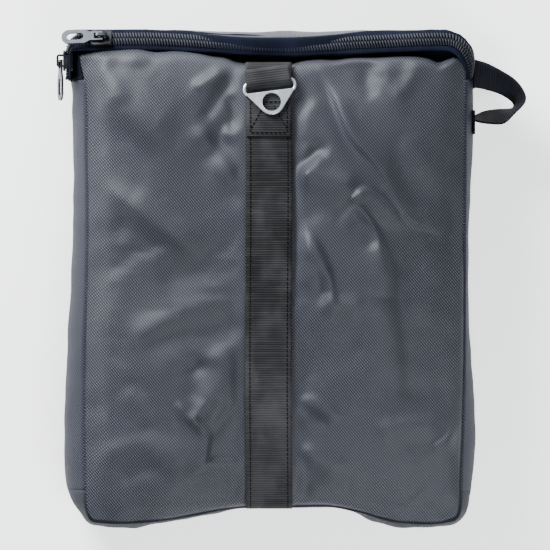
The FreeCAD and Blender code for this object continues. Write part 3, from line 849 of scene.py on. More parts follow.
@dataclass
class BagBody:
    """The six sewn panels, shaped by their filling."""

    width: float = 322.0
    length: float = 384.0
    cell: float = 1.95
    thick: float = 1.1
    seam_z: float = 62.5
    edge_radius: float = 13.0
    foot_roll: float = 12.0
    hem_roll: float = 9.0
    hem_drop: float = 15.0
    calm: float = 14.0
    strap_reach: float = 20.5
    wrinkle_cap: float = 2.4
    allowance: float = 3.5
    rear_y: float = 203.4
    spacing: float = 2.4
    corner_y: float = -174.0
    back_seam_z: float = 1.6
    back_inset: float = 5.0
    floor_gap: float = 0.25
    wall_depth: float = 66.0
    rear_bulge: float = 1.6
    binding_half: float = 3.2
    binding_thick: float = 0.8
    binding_inset: float = 4.6

    def front_plan(self) -> tuple[Array, Array]:
        """Places of the front's grid points in plan.

        Returns:
            Places across and up the bag, each as a grid.
        """
        columns, rows = int(self.width / self.cell), int(self.length / self.cell)
        u, v = np.meshgrid(np.linspace(0, 1, columns), np.linspace(0, 1, rows))
        # A rough start, which the curves of the seams and the hem then correct.
        x, y = -152 + 314 * u, -194 + 378 * v
        for _ in range(4):
            x = table(LEFT_SEAM, y) * (1 - u) + table(RIGHT_SEAM, y) * u
            y = table(BOTTOM_SEAM, x) * (1 - v) + table(HEM, x) * v
        return x, y

    def rest_height(self, x: Array, y: Array) -> Array:
        """The filled front before wrinkles: crowned, rolled over at its seams and hem.

        Args:
            x: Places across the bag.
            y: Places up the bag.

        Returns:
            The height at each place.
        """
        side = from_sides(x, y)
        tight = np.where(x > 0, smooth((60.0 - y) / 60.0), 0.0)
        soft_roll = 1 - np.clip(1 - side / (1.7 * self.edge_radius), 0, 1) ** 2
        tight_roll = round_roll(side, 0.9 * self.edge_radius)
        roll = soft_roll * (1 - tight) + tight_roll * tight
        roll_foot = round_roll(from_foot(x, y), self.foot_roll)
        roll_hem = round_roll(from_hem(x, y), self.hem_roll)
        rise = crown(x, y) - 1.0 - self.seam_z
        z = self.seam_z + rise * (0.04 + 0.96 * roll) * (0.10 + 0.90 * roll_foot)
        return z - self.hem_drop * (1 - roll_hem)

    def fullness(self, x: Array, y: Array) -> Array:
        """Broad swells of loose filling.

        Args:
            x: Places across the bag.
            y: Places up the bag.

        Returns:
            The swell at each place.
        """
        swell = 3.0 * np.sin(x / 41.0 + 0.6) * np.sin(y / 57.0 + 0.8)
        swell += 2.0 * np.sin((x + y) / 33.0) * np.sin((x - 1.7 * y) / 71.0 + 1.0)
        return swell

    def puckers(self, x: Array, y: Array) -> Array:
        """Small gathers where the cloth is sewn to the strap, the hem and the seams.

        Args:
            x: Places across the bag.
            y: Places up the bag.

        Returns:
            The rise at each place.
        """
        strap = np.abs(x) - self.strap_reach
        side = np.where(x > 0, 1.0, 2.0)
        beat = np.sin(y / 5.6 + 1.7 * np.sin(y / 17.0 + side)) * (0.6 + 0.4 * np.sin(y / 31.0 + side * 2))
        z = 0.9 * beat * np.exp(-np.clip(strap, 0, None) / 9.0)
        hem = from_hem(x, y)
        beat = np.sin(x / 6.1 + 1.9 * np.sin(x / 19.0)) * (0.55 + 0.45 * np.sin(x / 37.0))
        z += 1.5 * beat * np.exp(-((hem - 9) / 11.0) ** 2)
        edge = from_sides(x, y)
        beat = np.sin(y / 7.4 + 2.1 * np.sin(y / 23.0 + x / 90))
        z += 0.55 * beat * np.exp(-((edge - 10) / 8.0) ** 2)
        foot = from_foot(x, y)
        z += 0.7 * np.sin(x / 6.6 + 2 * np.sin(x / 21.0)) * np.exp(-((foot - 8) / 8.0) ** 2)
        return z

    def slack(self, x: Array, y: Array, z: Array) -> Array:
        """Loose cloth settled by simulation over the filling, held at its sewn edges.

        Args:
            x: Plan places across.
            y: Plan places up the bag.
            z: Heights before it settles.

        Returns:
            How far each point of the full grid moves up or down.
        """
        step = 3
        coarse = np.stack([x[::step, ::step], y[::step, ::step], z[::step, ::step]], 2)
        rows, columns, _ = coarse.shape
        sheet = mesh_object("settling", coarse.reshape(-1, 3), grid_faces(rows, columns), Finish.NYLON)
        held = sheet.vertex_groups.new(name="held")
        edge = np.ones((rows, columns), bool)
        edge[2:-2, 2:-2] = False
        edge |= np.abs(coarse[..., 0]) < self.strap_reach
        held.add(np.flatnonzero(edge.ravel()).tolist(), 1.0, "REPLACE")
        cloth = sheet.modifiers.new("Cloth", "CLOTH")
        settings = cloth.settings
        settings.quality, settings.mass = 6, 0.4
        settings.tension_stiffness = settings.compression_stiffness = settings.shear_stiffness = 12
        settings.bending_stiffness = 0.6
        settings.vertex_group_mass = "held"
        settings.shrink_min = -0.035
        settings.use_pressure, settings.uniform_pressure_force = True, 0.6
        settings.effector_weights.gravity = 0
        for number in range(1, SETTLE_FRAMES + 1):
            bpy.context.scene.frame_set(number)
        shape = sheet.evaluated_get(bpy.context.evaluated_depsgraph_get()).to_mesh()
        after = np.zeros(rows * columns * 3, np.float32)
        shape.vertices.foreach_get("co", after)
        bpy.context.scene.frame_set(1)
        moved = after.reshape(rows, columns, 3)[..., 2] / MM - coarse[..., 2]
        bpy.data.objects.remove(sheet)
        moved = self.wrinkle_cap * np.tanh((moved - moved.mean()) / self.wrinkle_cap)
        i = np.linspace(0, rows - 1, x.shape[0])
        j = np.linspace(0, columns - 1, x.shape[1])
        tall = np.stack([np.interp(i, np.arange(rows), moved[:, k]) for k in range(columns)], 1)
        return np.stack([np.interp(j, np.arange(columns), row) for row in tall], 0)

    def shape_front(self) -> Array:
        """The front panel's outer face as a grid.

        Returns:
            Rows of points, from the foot to the hem.
        """
        x, y = self.front_plan()
        z = self.rest_height(x, y)
        inside = smooth((np.abs(x) - self.strap_reach) / 12.0)
        calm = smooth(from_sides(x, y) / self.calm) * smooth(from_foot(x, y) / self.calm)
        calm_hem = smooth(from_hem(x, y) / self.hem_roll)
        lift = self.fullness(x, y)
        for fold in FOLDS:
            lift = lift + fold.lift(x, y)
        quiet = smooth(1.0 - np.hypot((x + 100) / 75.0, (y - 130) / 90.0))
        lift = lift + self.slack(x, y, z) * (0.55 - 0.35 * quiet)
        beside = 0.15 + 0.85 * smooth((np.abs(x) - self.strap_reach) / 3.0)
        z = z + lift * inside * calm * calm_hem + self.puckers(x, y) * beside * calm_hem
        return np.stack([x, y, z], 2)

    def waist_run(self) -> tuple[Array, Array]:
        """Even points of seam and waist side by side, and the length along the waist at each."""
        run = through(np.array([(*s[:2], 0, *s[2:]) for s in WAIST]), self.spacing)
        return run, lengths(run[:, 3:5])

    def wall(self, low: float, high: float, rows: int = 30) -> tuple[Array, Array]:
        """The gusset's outer face along a stretch of its run.

        Args:
            low: Length along the waist where it starts.
            high: Length along the waist where it ends.
            rows: Points from the front seam to the back seam.

        Returns:
            Rows of points under one tucked row, and the length along the waist of each column.
        """
        run, along = self.waist_run()
        seam, waist = run[:, :2], run[:, 3:5]
        out = unit(np.stack([-np.gradient(waist[:, 1]), np.gradient(waist[:, 0])], 1)) * -1
        foot = waist - out * self.back_inset
        t = np.linspace(0, 1, rows)
        grid = np.zeros((rows, len(run), 3))
        # Each column is a parabola through its points on the seam, the waist and the foot.
        for k, share in enumerate(t):
            a, b, c = (share - 0.5) * (share - 1) * 2, share * (1 - share) * 4, share * (share - 0.5) * 2
            grid[k, :, :2] = seam * a + waist * b + foot * c
            grid[k, :, 2] = self.seam_z * (1 - share) + self.back_seam_z * share
        flat = grid.reshape(-1, 3)
        fine = speckle(flat * np.array([1, 1, 0.45]), 17.0, 3.0) * 2.0
        broad = speckle(flat, 38.0, 9.0) * 2.2
        belly = np.sin(math.pi * t)[:, None]
        # The handle's sewn ends hold the wall flat, and it waves fully only along the foot.
        sewn = smooth((waist[:, 0] - 100) / 20) * smooth((waist[:, 1] - 90) / 20)
        calm = np.where(waist[:, 1] < -180, 1.0, 0.45)
        push = (fine + broad).reshape(rows, -1) * belly * 0.8 * (1 - 0.9 * sewn) * calm
        grid[..., :2] += out[None] * push[..., None]
        tuck = grid[:1].copy()
        tuck[..., :2] -= out[None] * self.allowance
        tuck[..., 2] -= 0.9
        grid = np.concatenate([tuck, grid])
        keep = (along >= low - 1e-6) & (along <= high + 1e-6)
        return grid[:, keep], along[keep]

    def corner_run(self) -> tuple[float, float, float]:
        """Lengths along the waist at which the side gussets meet the bottom gusset.

        Returns:
            The left corner's length, the right corner's and the whole run's.
        """
        run, along = self.waist_run()
        low = run[:, 4] < self.corner_y
        left = along[np.argmax(low)]
        right = along[len(along) - 1 - np.argmax(low[::-1])]
        return left, right, along[-1]

    def rear_wall(self, rows: int = 22) -> Array:
        """The low wall behind the zip, as a grid from its upper edge to the back seam.

        Args:
            rows: Points from the upper edge to the back seam.

        Returns:
            Rows of points.
        """
        edge = through(np.array(REAR_EDGE), self.spacing)
        out = unit(np.stack([np.gradient(edge[:, 1]), -np.gradient(edge[:, 0])], 1))
        t = np.linspace(0, 1, rows)
        grid = np.zeros((rows, len(edge), 3))
        start = np.stack([edge[:, 0], edge[:, 1]], 1) - out * 0.4
        for k, share in enumerate(t):
            reach = np.clip(self.rear_y - edge[:, 1], 0, None) * (edge[:, 1] > 196.0)
            reach = np.where(np.abs(edge[:, 0]) < 95, reach, 0.0) * (1 - (1 - share) ** 3)
            bulge = self.rear_bulge * math.sin(math.pi * share) - self.back_inset * share ** 3
            grid[k, :, :2] = start + out * (bulge + reach)[:, None]
            grid[k, :, 2] = edge[:, 2] * (1 - share) + self.back_seam_z * share
        flat = grid.reshape(-1, 3)
        wave = speckle(flat, 24.0, 5.0) * 1.6
        grid[..., :2] += out[None] * (wave.reshape(rows, -1) * np.sin(math.pi * t)[:, None])[..., None]
        return grid

    def back(self) -> Array:
        """The back's outer face: flat on the floor, curling up to its seam.

        Returns:
            Rings of points from the seam to near the middle.
        """
        _, _, end = self.corner_run()
        lower, _ = self.wall(0, end)
        rim = np.vstack([lower[-1], self.rear_wall()[-1]])
        rim = through(np.vstack([rim, rim[:1]]), 4.0)[:-1]
        shares = np.concatenate([np.linspace(1, 0.86, 9), np.linspace(0.8, 0.04, 20)])
        grid = rim[None] * shares[:, None, None]
        drop = smooth((1 - shares) / 0.10)
        grid[..., 2] = (self.back_seam_z * (1 - drop) + self.floor_gap * drop)[:, None]
        flat = grid.reshape(-1, 3)
        grid[..., 2] += (0.45 * (1 + speckle(flat, 30.0, 2.0))).reshape(grid.shape[:2]) * drop[:, None]
        return grid

    def build(self) -> list[bpy.types.Object]:
        """Make the panels and dress them.

        Returns:
            The six panels and the two bindings.
        """
        grid = self.shape_front()
        cut = np.stack([grid[..., 0], grid[..., 1]], 2).reshape(-1, 2)
        front = cloth_piece("front_panel_cloth", grid, Finish.NYLON, self.thick, cut=cut)
        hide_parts("front_panel")
        left, right, end = self.corner_run()
        made = [front]
        for name, node, low, high in (("left_gusset_cloth", "left_gusset", 0, left),
                                      ("bottom_gusset_cloth", "bottom_gusset", left, right),
                                      ("right_gusset_cloth", "right_gusset", right, end)):
            wall, along = self.wall(low, high)
            depth = np.linspace(0, self.wall_depth, len(wall))
            flat = np.stack(np.meshgrid(along, depth), 2).reshape(-1, 2)
            piece = cloth_piece(name, wall, Finish.WALL_NYLON, self.thick, cut=flat)
            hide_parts(node)
            (high - low) * MM
            made.append(piece)
        rear = self.rear_wall()
        piece = cloth_piece("top_gusset_cloth", rear, Finish.NYLON, self.thick)
        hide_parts("top_gusset")
        made.append(piece)
        rim = self.back()
        rows, columns, _ = rim.shape
        points = np.vstack([rim.reshape(-1, 3), [[0, 0, 0.5]]])
        faces = grid_faces(rows, columns, wrap=True, flip=True)
        last = (rows - 1) * columns
        faces += [(len(points) - 1, last + (k + 1) % columns, last + k) for k in range(columns)]
        piece = mesh_object("back_panel_cloth", points, faces, Finish.NYLON, points[:, :2])
        apply_modifier(piece, "SOLIDIFY", thickness=self.thick * MM, offset=-1.0)
        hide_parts("back_panel")
        made.append(piece)
        for piece in made:
            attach(piece, "bag")
        return made + self.bindings()

    def bindings(self) -> list[bpy.types.Object]:
        """Tape over the raw edges, just inside the front and back seams.

        Returns:
            Both tapes.
        """
        made = []
        for name, node, row, drop in (("front_binding_tape", "front_seam_binding", 4, 2.5),
                                      ("back_binding_tape", "back_seam_binding", 27, -1.0)):
            wall, _ = self.wall(0, self.corner_run()[2])
            line = wall[row].copy()
            inward = unit(np.stack([-np.gradient(line[:, 1]), np.gradient(line[:, 0]), 0 * line[:, 0]], 1))
            line = line + inward * self.binding_inset
            line[:, 2] -= drop
            across = np.tile([0.0, 0.0, 1.0], (len(line), 1))
            piece = ribbon(name, line, across, self.binding_half, self.binding_thick, Finish.BINDING,
                           columns=5)
            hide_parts(node)
            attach(piece, "bag")
            made.append(piece)
        return made


# ---- filling -------------------------------------------------------------------------
@dataclass
class Filling:
    """The liner with its flat neck, and the sand in it."""

    squareness: float = 0.5
    sides: int = 72
    film: float = 1.4
    neck: int = 3
    # Place along the bag, half width, underside and top of each section.
    sections: tuple[tuple[float, float, float, float], ...] = (
        (-181, 118, 16, 50), (-179, 136, 8, 60), (-172, 143, 5, 68), (-150, 146, 4, 74), (-60, 147, 4, 80),
        (60, 147, 4, 80), (130, 147, 4, 76), (150, 146, 5, 70), (164, 142, 9, 60), (172, 136, 18, 48),
        (177, 131, 27.5, 38), (190, 131, 27.5, 38))

    def loft(self, name: str, shrink: float, last: int, finish: Finish) -> bpy.types.Object:
        """A closed pillow through the sections, drawn in by shrink.

        Args:
            name: The piece's name.
            shrink: How far it is drawn in.
            last: How many sections it has.
            finish: What it is made of.

        Returns:
            The pillow.
        """
        rows = through(np.array([(y, 0, 0, w, lo, hi) for y, w, lo, hi in self.sections[:last]]), 6.0)
        turn = np.linspace(0, math.tau, self.sides, endpoint=False)
        cx = np.sign(np.cos(turn)) * np.abs(np.cos(turn)) ** self.squareness
        cz = np.sign(np.sin(turn)) * np.abs(np.sin(turn)) ** self.squareness
        points = []
        for y, _, _, w, lo, hi in rows:
            mid, half = (lo + hi) / 2, (hi - lo) / 2 - shrink
            ring = np.stack([cx * (w - shrink), np.full_like(turn, y), mid + cz * half], 1)
            points.append(ring)
        points[0][:, 1] += shrink
        grid = np.array(points)
        wave = speckle(grid.reshape(-1, 3), 34.0, 4.0).reshape(grid.shape[:2])
        grid[..., 2] += np.where(grid[..., 2] > 40, wave * 1.6 - 1.6, 0)
        last = (len(grid) - 1) * self.sides
        faces = grid_faces(len(grid), self.sides, wrap=True, flip=True)
        faces += [tuple(range(self.sides)), tuple(range(last, last + self.sides))[::-1]]
        piece = mesh_object(name, grid.reshape(-1, 3), faces, finish)
        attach(piece, "bag")
        return piece

    def build(self) -> list[bpy.types.Object]:
        """Make the liner and the sand.

        Returns:
            Both pieces.
        """
        liner = self.loft("liner_bag_film", 0.0, len(self.sections), Finish.LINER)
        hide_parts("liner_bag")
        sand = self.loft("sand_in_liner", self.film, len(self.sections) - self.neck, Finish.SAND)
        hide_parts("sand_fill")
        return [liner, sand]


# ---- zip -----------------------------------------------------------------------------
@dataclass
class CoilZip:
    """The coil zip round the zipped end, with its tapes."""

    pitch: float = 2.37
    tooth: float = 0.80
    tape_thick: float = 0.55
    half: float = 5.2
    lean: float = 0.62
    # Centre of the chain and its outward normal, from the left leg to the right leg.
    route: tuple[tuple[float, ...], ...] = (
        (-166, 163.5, 49, -1, 0, 0), (-166, 176, 49, -1, 0, 0), (-166, 188, 49.2, -1, 0.02, 0.02),
        (-164.6, 192.4, 52, -0.85, 0.42, 0.3), (-161.4, 195.6, 57, -0.5, 0.62, 0.6),
        (-156.5, 197, 61, -0.1, 0.46, 0.88), (-148, 197, 62, 0, 0.423, 0.906),
        (-130, 197.1, 62, 0, 0.423, 0.906), (-100, 197.2, 62, 0, 0.423, 0.906),
        (-73, 196.2, 62, 0, 0.423, 0.906), (-32, 193.6, 61.8, 0, 0.4, 0.916),
        (0, 191.8, 61.6, 0, 0.4, 0.916), (25, 191.6, 61.6, 0, 0.4, 0.916), (67, 194, 61.8, 0, 0.4, 0.916),
        (108, 196, 62, 0, 0.423, 0.906), (131, 197, 62, 0, 0.423, 0.906), (147, 196.8, 62, 0.04, 0.44, 0.9),
        (155, 194.2, 61.4, 0.3, 0.42, 0.85), (161, 189.4, 60.2, 0.5, 0.36, 0.78),
        (165, 183, 58.4, 0.66, 0.26, 0.7), (167, 176, 55.6, 0.8, 0.16, 0.58),
        (167, 169.5, 51.8, 0.95, 0.08, 0.3), (166, 163.5, 49, 1, 0, 0))

    def frames(self, spacing: float) -> tuple[Array, Array, Array, Array]:
        """Centres, directions, widths and normals along the zip.

        Args:
            spacing: Distance between stations.

        Returns:
            Four arrays with a row per station.
        """
        run = through(np.array(self.route), spacing)
        centre = run[:, :3]
        ahead = unit(np.gradient(centre, axis=0))
        normal = run[:, 3:]
        normal = unit(normal - ahead * (normal * ahead).sum(1, keepdims=True))
        width = np.cross(ahead, normal) * -1
        return centre, ahead, width, normal

    def coil(self, side: int) -> bpy.types.Object:
        """One coil: a row of bent teeth whose heads meet on the centre line.

        Args:
            side: 1 for the front coil and -1 for the rear one.

        Returns:
            The coil.
        """
        centre, ahead, width, normal = self.frames(self.pitch / 2)
        # Along a tooth, from its foot on the tape to its head: place over the width, height and girth.
        bend = np.array([(5.15, -0.6), (5.0, 0.1), (4.2, 0.5), (2.7, 0.95), (1.5, 1.15), (0.5, 0.75),
                         (0.2, -0.4)])
        girth = self.tooth * np.array([0.8, 1, 1, 1, 1.1, 1.2, 0.8])
        lean = (self.half - bend[:, 0]) / self.half * self.pitch * self.lean * side
        parts = []
        start = 2 if side > 0 else 3
        for k in range(start, len(centre) - 3, 2):
            line = (centre[k] + width[k] * bend[:, :1] * side + normal[k] * bend[:, 1:]
                    + ahead[k] * lean[:, None])
            parts.append(tube_rings(line, girth, 6))
        front = ("front_coil_teeth", "zip_coil_front")
        name, node = front if side > 0 else ("rear_coil_teeth", "zip_coil_rear")
        piece = joined(name, parts, Finish.COIL)
        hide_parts(node)
        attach(piece, "bag")
        return piece

    def tape(self, name: str, node: str, sections: Array) -> bpy.types.Object:
        """A tape from rows of cross-section points (stations, corners, 3).

        Args:
            name: The piece's name.
            node: The node that it stands for.
            sections: The cross-sections.

        Returns:
            The tape.
        """
        count = 14
        grid = np.zeros((len(sections), count, 3))
        for k, section in enumerate(sections):
            row = through(section, 1.4)
            places = np.linspace(0, len(row) - 1, count)
            for axis in range(3):
                grid[k, :, axis] = np.interp(places, np.arange(len(row)), row[:, axis])
        piece = cloth_piece(name, grid, Finish.TAPE, self.tape_thick)
        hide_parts(node)
        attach(piece, "bag")
        return piece

    def front_tape(self) -> bpy.types.Object:
        """From the chain down behind the front panel's hem and side edges.

        Returns:
            The tape.
        """
        centre, _, width, normal = self.frames(2.2)
        x, y = centre[:, 0], centre[:, 1]
        level = smooth((y - 176) / 12.0) * smooth((162 - np.abs(x)) / 8.0)
        inner = np.where(x < 0, table(LEFT_SEAM, y) - 1.0, table(RIGHT_SEAM, y) + 0.5)
        side_end = np.stack([inner, y, np.full_like(x, 60.5)], 1)
        end_x = np.clip(x, -152, 160)
        top_end = np.stack([end_x, table(HEM, end_x) - 3.0, np.full_like(x, 56.0)], 1)
        end = side_end * (1 - level[:, None]) + top_end * level[:, None]
        rows = [centre - normal * 1.15 + width * 0.7, centre - normal * 1.2 + width * 5.6,
                centre - normal * 1.5 + width * 9.2]
        knee = centre - normal * (2.2 + 1.6 * level[:, None]) + width * 11.4
        sections = np.stack([*rows, knee * 0.7 + end * 0.3, end], 1)
        return self.tape("front_zip_tape", "zip_tape_front", sections)

    def rear_tape(self) -> bpy.types.Object:
        """From the chain back and down to the cloth behind the zip.

        Returns:
            The tape.
        """
        centre, _, width, normal = self.frames(2.2)
        edge = through(np.array(REAR_EDGE)[::-1], 0.8)
        near = np.array([edge[np.argmin(np.linalg.norm(edge[:, :2] - c[:2] - n[:2] * 3, axis=1))]
                         for c, n in zip(centre, normal)])
        near[:, 2] -= 1.5
        rows = [near, near + np.array([0, 0, 4.0]), centre - normal * 2.2 - width * 9.5,
                centre - normal * 1.3 - width * 6.4, centre - normal * 1.15 - width * 0.7]
        return self.tape("rear_zip_tape", "zip_tape_rear", np.stack(rows, 1))

    def build(self) -> list[bpy.types.Object]:
        """Make both coils and tapes."""
        return [self.front_tape(), self.rear_tape(), self.coil(1), self.coil(-1)]


# ---- load strap and ring tab ---------------------------------------------------------
@dataclass
class LoadStrap:
    """The webbing down the middle, its stitching and the tab that holds the ring."""

    half: float = 19.0
    thick: float = 1.5
    top: float = 177.5
    foot: float = -189.9
    tab_end: float = 116.5
    stitch_x: float = 15.3
    rib: float = 0.15
    rib_pitch: float = 1.95
    ring_bar: float = 160.3
    ring_y: float = 148.0
    turn: float = 7.5

    def surface(self, y: Array) -> Array:
        """Height of the strap's outer face."""
        return crown(np.zeros_like(y), y) + 1.75

    def strap_line(self) -> Array:
        """Middle line of the strap's outer face, from the hem down and over the foot.

        Returns:
            Its points.
        """
        y = np.linspace(self.top, self.foot + 7.0, 90)
        z = self.surface(y) + 0.5 * np.sin(y / 21.0) * smooth((110 - y) / 30)
        z -= 3.0 * smooth((y - 172) / 6.0)
        run = np.stack([0 * y, y, z], 1)
        seat = z[-1]
        bend = [(0, self.foot + reach, seat - fall) for reach, fall in ((3.4, 1.9), (1.0, 5.4), (0.0, 11.0))]
        drop = [(0, self.foot - 0.3, z0) for z0 in np.linspace(seat - 18, 4.0, 9)]
        return through(np.vstack([run, bend, drop]), 0.38)

    def wander(self, line: Array) -> Array:
        """How far the strap strays sideways at each point of its line."""
        return 0.35 * np.sin(line[:, 1] / 47.0)

    def strap(self) -> bpy.types.Object:
        """The load strap itself.

        Returns:
            The webbing.
        """
        line = self.strap_line()
        across = np.tile([1.0, 0.0, 0.0], (len(line), 1))
        line[:, 0] += self.wander(line)
        piece = ribbon("load_strap_webbing", line, -across, self.half, self.thick, Finish.STRAP, self.rib,
                       self.rib_pitch, 16)
        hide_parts("load_strap")
        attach(piece, "bag")
        return piece

    def tab(self) -> bpy.types.Object:
        """Webbing folded round the ring's bar and sewn down below it.

        Returns:
            The webbing.
        """
        lean = math.atan(-4 * RISE * self.ring_y ** 3 / HALF_LENGTH ** 4)
        ahead = np.array([0, math.cos(lean), math.sin(lean)])
        up = np.array([0, -math.sin(lean), math.cos(lean)])
        turn = math.radians(self.turn)
        bar = np.array([math.cos(turn), 0, 0]) + ahead * math.sin(turn)
        fore = ahead * math.cos(turn) - np.array([math.sin(turn), 0, 0])
        origin = np.array([0, self.ring_bar, float(crown(np.zeros(1), np.array([self.ring_bar]))[0]) + 1.85])
        local = [(-5.6, 2.2), (-3.6, 4.0), (-2.2, 6.2), (-0.2, 7.2), (3, 7.3), (6.5, 7.2), (9.6, 6.9),
                 (11.6, 5.6), (12.3, 4.1), (11.7, 2.7)]
        y = np.linspace(self.tab_end, 151.0, 24)
        tail = np.stack([0 * y, y, self.surface(y) + 1.8], 1)
        loop = np.array([origin + fore * a + up * b for a, b in local])
        line = through(np.vstack([tail, loop]), 0.38)
        skew = smooth((line[:, 1] - 140) / 14.0)[:, None]
        across = unit(np.array([1.0, 0, 0]) * (1 - skew) + bar * skew)
        piece = ribbon("ring_tab_webbing", line, across, self.half - 0.5, 1.5, Finish.STRAP, self.rib,
                       self.rib_pitch, 16)
        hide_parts("ring_tab")
        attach(piece, "bag")
        return piece

    def threads(self) -> list[bpy.types.Object]:
        """Two long rows beside the strap's edges and a crossed box on the tab.

        Returns:
            Both sets of stitches.
        """
        line = self.strap_line()
        keep = (line[:, 1] < self.tab_end + 46) & (line[:, 2] > 66)
        line = line[keep]
        line[:, 0] += self.wander(line)
        below = line[line[:, 1] < self.tab_end - 0.5]
        out = np.tile([0.0, 0.0, 1.0], (len(below), 1))
        parts = []
        for side in (-1, 1):
            parts += stitches(below + np.array([side * self.stitch_x, 0, 0.12]), out)
        long_rows = joined("strap_edge_threads", parts, Finish.THREAD)
        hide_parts("strap_edge_stitching")
        low, high = self.tab_end + 2.6, self.tab_end + 25.0
        left, right, top = -15.0, 15.0, 150
        rows = [((left, low), (right, low)), ((left, low), (left, top)), ((right, low), (right, top)),
                ((left, low + 3), (-4, high)), ((right, low + 3), (4, high)),
                ((left, high + 3), (right, high + 3))]
        box = []
        for (xa, ya), (xb, yb) in rows:
            y = np.linspace(ya, yb, 30)
            row = np.stack([np.linspace(xa, xb, 30), y, self.surface(y) + 1.95], 1)
            box += stitches(row, np.tile([0.0, 0.0, 1.0], (30, 1)))
        crossed = joined("ring_tab_threads", box, Finish.THREAD)
        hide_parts("ring_tab_stitching")
        for piece in (long_rows, crossed):
            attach(piece, "bag")
        return [long_rows, crossed]

    def build(self) -> list[bpy.types.Object]:
        """Make the strap, tab and stitching."""
        return [self.strap(), self.tab(), *self.threads()]


# ---- grab handle ---------------------------------------------------------------------
@dataclass
class GrabHandle:
    """The loop of webbing on the right gusset, its sewn ends and their tacks."""

    thick: float = 1.5
    end_thick: float = 1.6
    rib: float = 0.12
    rib_pitch: float = 2.1
    gusset_x: float = 168.9
    tack_x: float = 169.25
    # Outer and inner edge of the webbing at each station, from the upper end to the lower.
    stations: tuple[tuple[float, ...], ...] = (
        (169.4, 181.0, 37, 169.4, 157.4, 34), (174, 179.6, 39, 173, 157.2, 33),
        (181, 177.0, 41, 180, 155.8, 31), (192, 171.0, 42, 190, 152.8, 28),
        (203, 163.5, 42.5, 198, 148.6, 24.5), (210, 154.0, 43, 202.4, 144.4, 22),
        (210.8, 146.0, 44, 201.6, 141.2, 21), (203, 137.2, 45, 196, 140.6, 21),
        (194, 128.8, 45.5, 188, 140.2, 21.5), (183, 128.4, 46, 179, 138.8, 22),
        (175, 129.4, 46.6, 173.6, 136.6, 22.2), (169.4, 131.0, 47, 169.4, 134.4, 22.4))

    def loop(self) -> bpy.types.Object:
        """The free loop, flat where it leaves the bag and twisted where it returns.

        Returns:
            The webbing.
        """
        run = through(np.array([((a + d) / 2, (b + e) / 2, (c + f) / 2, d - a, e - b, f - c)
                                for a, b, c, d, e, f in self.stations]), 0.6)
        line, across = run[:, :3], unit(run[:, 3:])
        half = np.linalg.norm(run[:, 3:], axis=1) / 2
        line = line + np.stack([0 * half, 0 * half, 0.5 * np.sin(np.arange(len(half)) / 23.0)], 1)
        piece = ribbon("grab_handle_webbing", line, across, half, self.thick, Finish.HANDLE, self.rib,
                       self.rib_pitch)
        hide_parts("handle_loop")
        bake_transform(piece)
        return piece

    def ends(self) -> bpy.types.Object:
        """Both ends, sewn flat on the gusset.

        Returns:
            One object with both ends.
        """
        parts = []
        count = 60
        x = np.full(count, self.gusset_x)
        for y0, y1, z0, z1, upright in ((157.2, 181.8, 14.2, 36.5, True), (119.2, 138.8, 22.6, 47.3, False)):
            if upright:
                line = np.stack([x, np.full(count, (y0 + y1) / 2), np.linspace(z0, z1, count)], 1)
                across, half = np.array([0.0, -1.0, 0.0]), (y1 - y0) / 2
            else:
                line = np.stack([x, np.linspace(y0, y1, count), np.full(count, (z0 + z1) / 2)], 1)
                across, half = np.array([0.0, 0.0, 1.0]), (z1 - z0) / 2
            parts.append(ribbon("end", line, np.tile(across, (count, 1)), half, self.end_thick,
                                Finish.HANDLE, self.rib, self.rib_pitch))
        first, second = parts
        bpy.ops.object.select_all(action="DESELECT")
        first.select_set(True)
        second.select_set(True)
        bpy.context.view_layer.objects.active = first
        bpy.ops.object.join()
        first.name = "grab_handle_ends"
        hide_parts("handle_ends")
        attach(first, "bag")
        return first

    def tacks(self) -> bpy.types.Object:
        """Dense zigzag rows across both ends.

        Returns:
            One object with every row.
        """
        parts = []
        for fixed, low, high, upright in ((17.4, 159.6, 179.4, True), (27.8, 159.6, 179.4, True),
                                          (122.3, 25, 45, False), (133.8, 25, 45, False)):
            places = np.arange(low, high, 0.9)
            zig = fixed + 0.75 * np.where(np.arange(len(places)) % 2, 1, -1)
            x = np.full(len(places), self.tack_x)
            line = np.stack([x, places, zig] if upright else [x, zig, places], 1)
            parts.append(tube_rings(through(line, 0.5), 0.3, 5))
        piece = joined("handle_tack_threads", parts, Finish.THREAD)
        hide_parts("handle_tacks")
        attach(piece, "bag")
        return piece

    def build(self) -> list[bpy.types.Object]:
        """Make the loop, its ends and tacks."""
        return [self.loop(), self.ends(), self.tacks()]


# ---- metalwork and hidden pieces kept from the frame ----------------------------------
KEPT: dict[Finish, tuple[str, ...]] = {
    Finish.SLIDER: ("top_slider_body", "top_slider_bail", "top_slider_pull", "side_slider_body",
                    "side_slider_bail", "side_slider_pull", "zip_end_stops"),
    Finish.RING: ("hanging_ring",),
    Finish.HOOK_TAPE: ("liner_hook_strip", "liner_loop_strip"),
    Finish.HANDLE: ("handle_backing",),
}


def dress_kept_nodes() -> None:
    """Give the frame's own metal and hidden pieces their finishes."""
    for finish, nodes in KEPT.items():
        for node in nodes:
            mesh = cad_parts[node].data
            mesh.materials.clear()
            mesh.materials.append(finish.material())


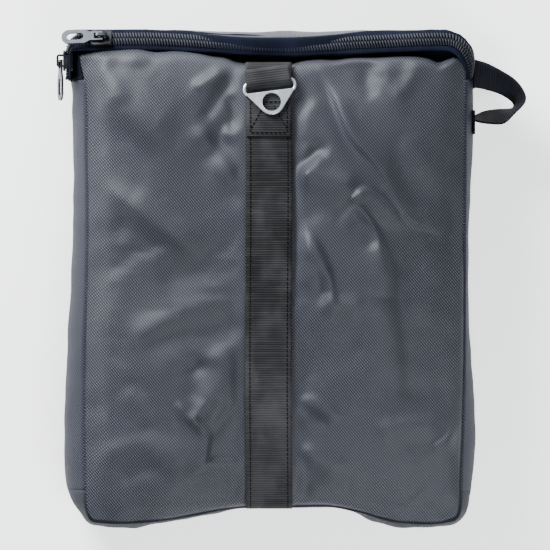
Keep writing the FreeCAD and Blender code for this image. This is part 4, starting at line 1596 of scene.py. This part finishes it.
# ---- studio --------------------------------------------------------------------------
@dataclass
class Studio:
    """Pale floor, soft lights and a camera straight above."""

    centre: tuple[float, float] = (0.0050, 0.0025)
    height: float = 6.0
    lens: float = 471.5
    floor_side: float = 12.0
    floor_z: float = -0.0004
    target_z: float = 0.05
    sky: float = 0.18

    def floor(self) -> None:
        """A plain pale floor."""
        bpy.ops.object.select_all(action="DESELECT")
        bpy.ops.mesh.primitive_plane_add(size=self.floor_side, location=(0, 0, self.floor_z))
        floor = bpy.context.object
        floor.name = "studio_floor"
        s = Shade("pale_floor")
        tone = s.noise(s.place(), 3.0, 2.0)
        base = s.mix(tone, rgb(0.90, 0.90, 0.90), rgb(0.94, 0.94, 0.94))
        floor.data.materials.append(s.finish(Base_Color=base, Roughness=0.9, Specular_IOR_Level=0.1,
                                             Emission_Color=rgb(1, 1, 1), Emission_Strength=1.15))

    def light(self, name: str, place: tuple[float, float, float], size: float, power: float,
              colour: tuple[float, float, float]) -> None:
        """A square soft light aimed at the bag.

        Args:
            name: The lamp's name.
            place: Where it stands.
            size: Its side's length.
            power: In watts.
            colour: Its red, green and blue.
        """
        data = bpy.data.lights.new(name, "AREA")
        data.size = size
        data.energy = power
        data.color = colour
        lamp = bpy.data.objects.new(name, data)
        lamp.location = place
        lamp.rotation_mode = "QUATERNION"
        aim = Vector((0, 0, self.target_z)) - Vector(place)
        lamp.rotation_quaternion = aim.to_track_quat("-Z", "Y")
        bpy.context.scene.collection.objects.link(lamp)

    def build(self) -> None:
        """Make floor, lights and camera."""
        self.floor()
        self.light("key", (-0.90, 1.36, 0.78), 0.8, 128.0, (0.94, 0.97, 1.0))
        self.light("fill", (0.55, -1.10, 1.3), 1.2, 46.0, (0.90, 0.94, 1.0))
        world = bpy.data.worlds.new("studio")
        bpy.context.scene.world = world
        world.use_nodes = True
        background = world.node_tree.nodes["Background"].inputs
        background["Color"].default_value = rgb(0.94, 0.97, 1.0)
        background["Strength"].default_value = self.sky
        camera = bpy.data.objects.new("camera", bpy.data.cameras.new("camera"))
        camera.data.lens = self.lens
        camera.data.sensor_width = 36.0
        camera.data.clip_end = 20.0
        camera.location = (*self.centre, self.height)
        bpy.context.scene.collection.objects.link(camera)
        bpy.context.scene.camera = camera


def main() -> None:
    """Build every sub-assembly in order."""
    logging.basicConfig(level=logging.INFO)
    bpy.context.scene.frame_start, bpy.context.scene.frame_end = 1, SETTLE_FRAMES
    dress_kept_nodes()
    made = []
    for assembly in (Filling(), BagBody(), CoilZip(), LoadStrap(), GrabHandle()):
        made += assembly.build()
    for piece in made:
        LOG.info("%s: %d faces", piece.name, len(piece.data.polygons))
    Studio().build()


if __name__ == "__main__":
    main()
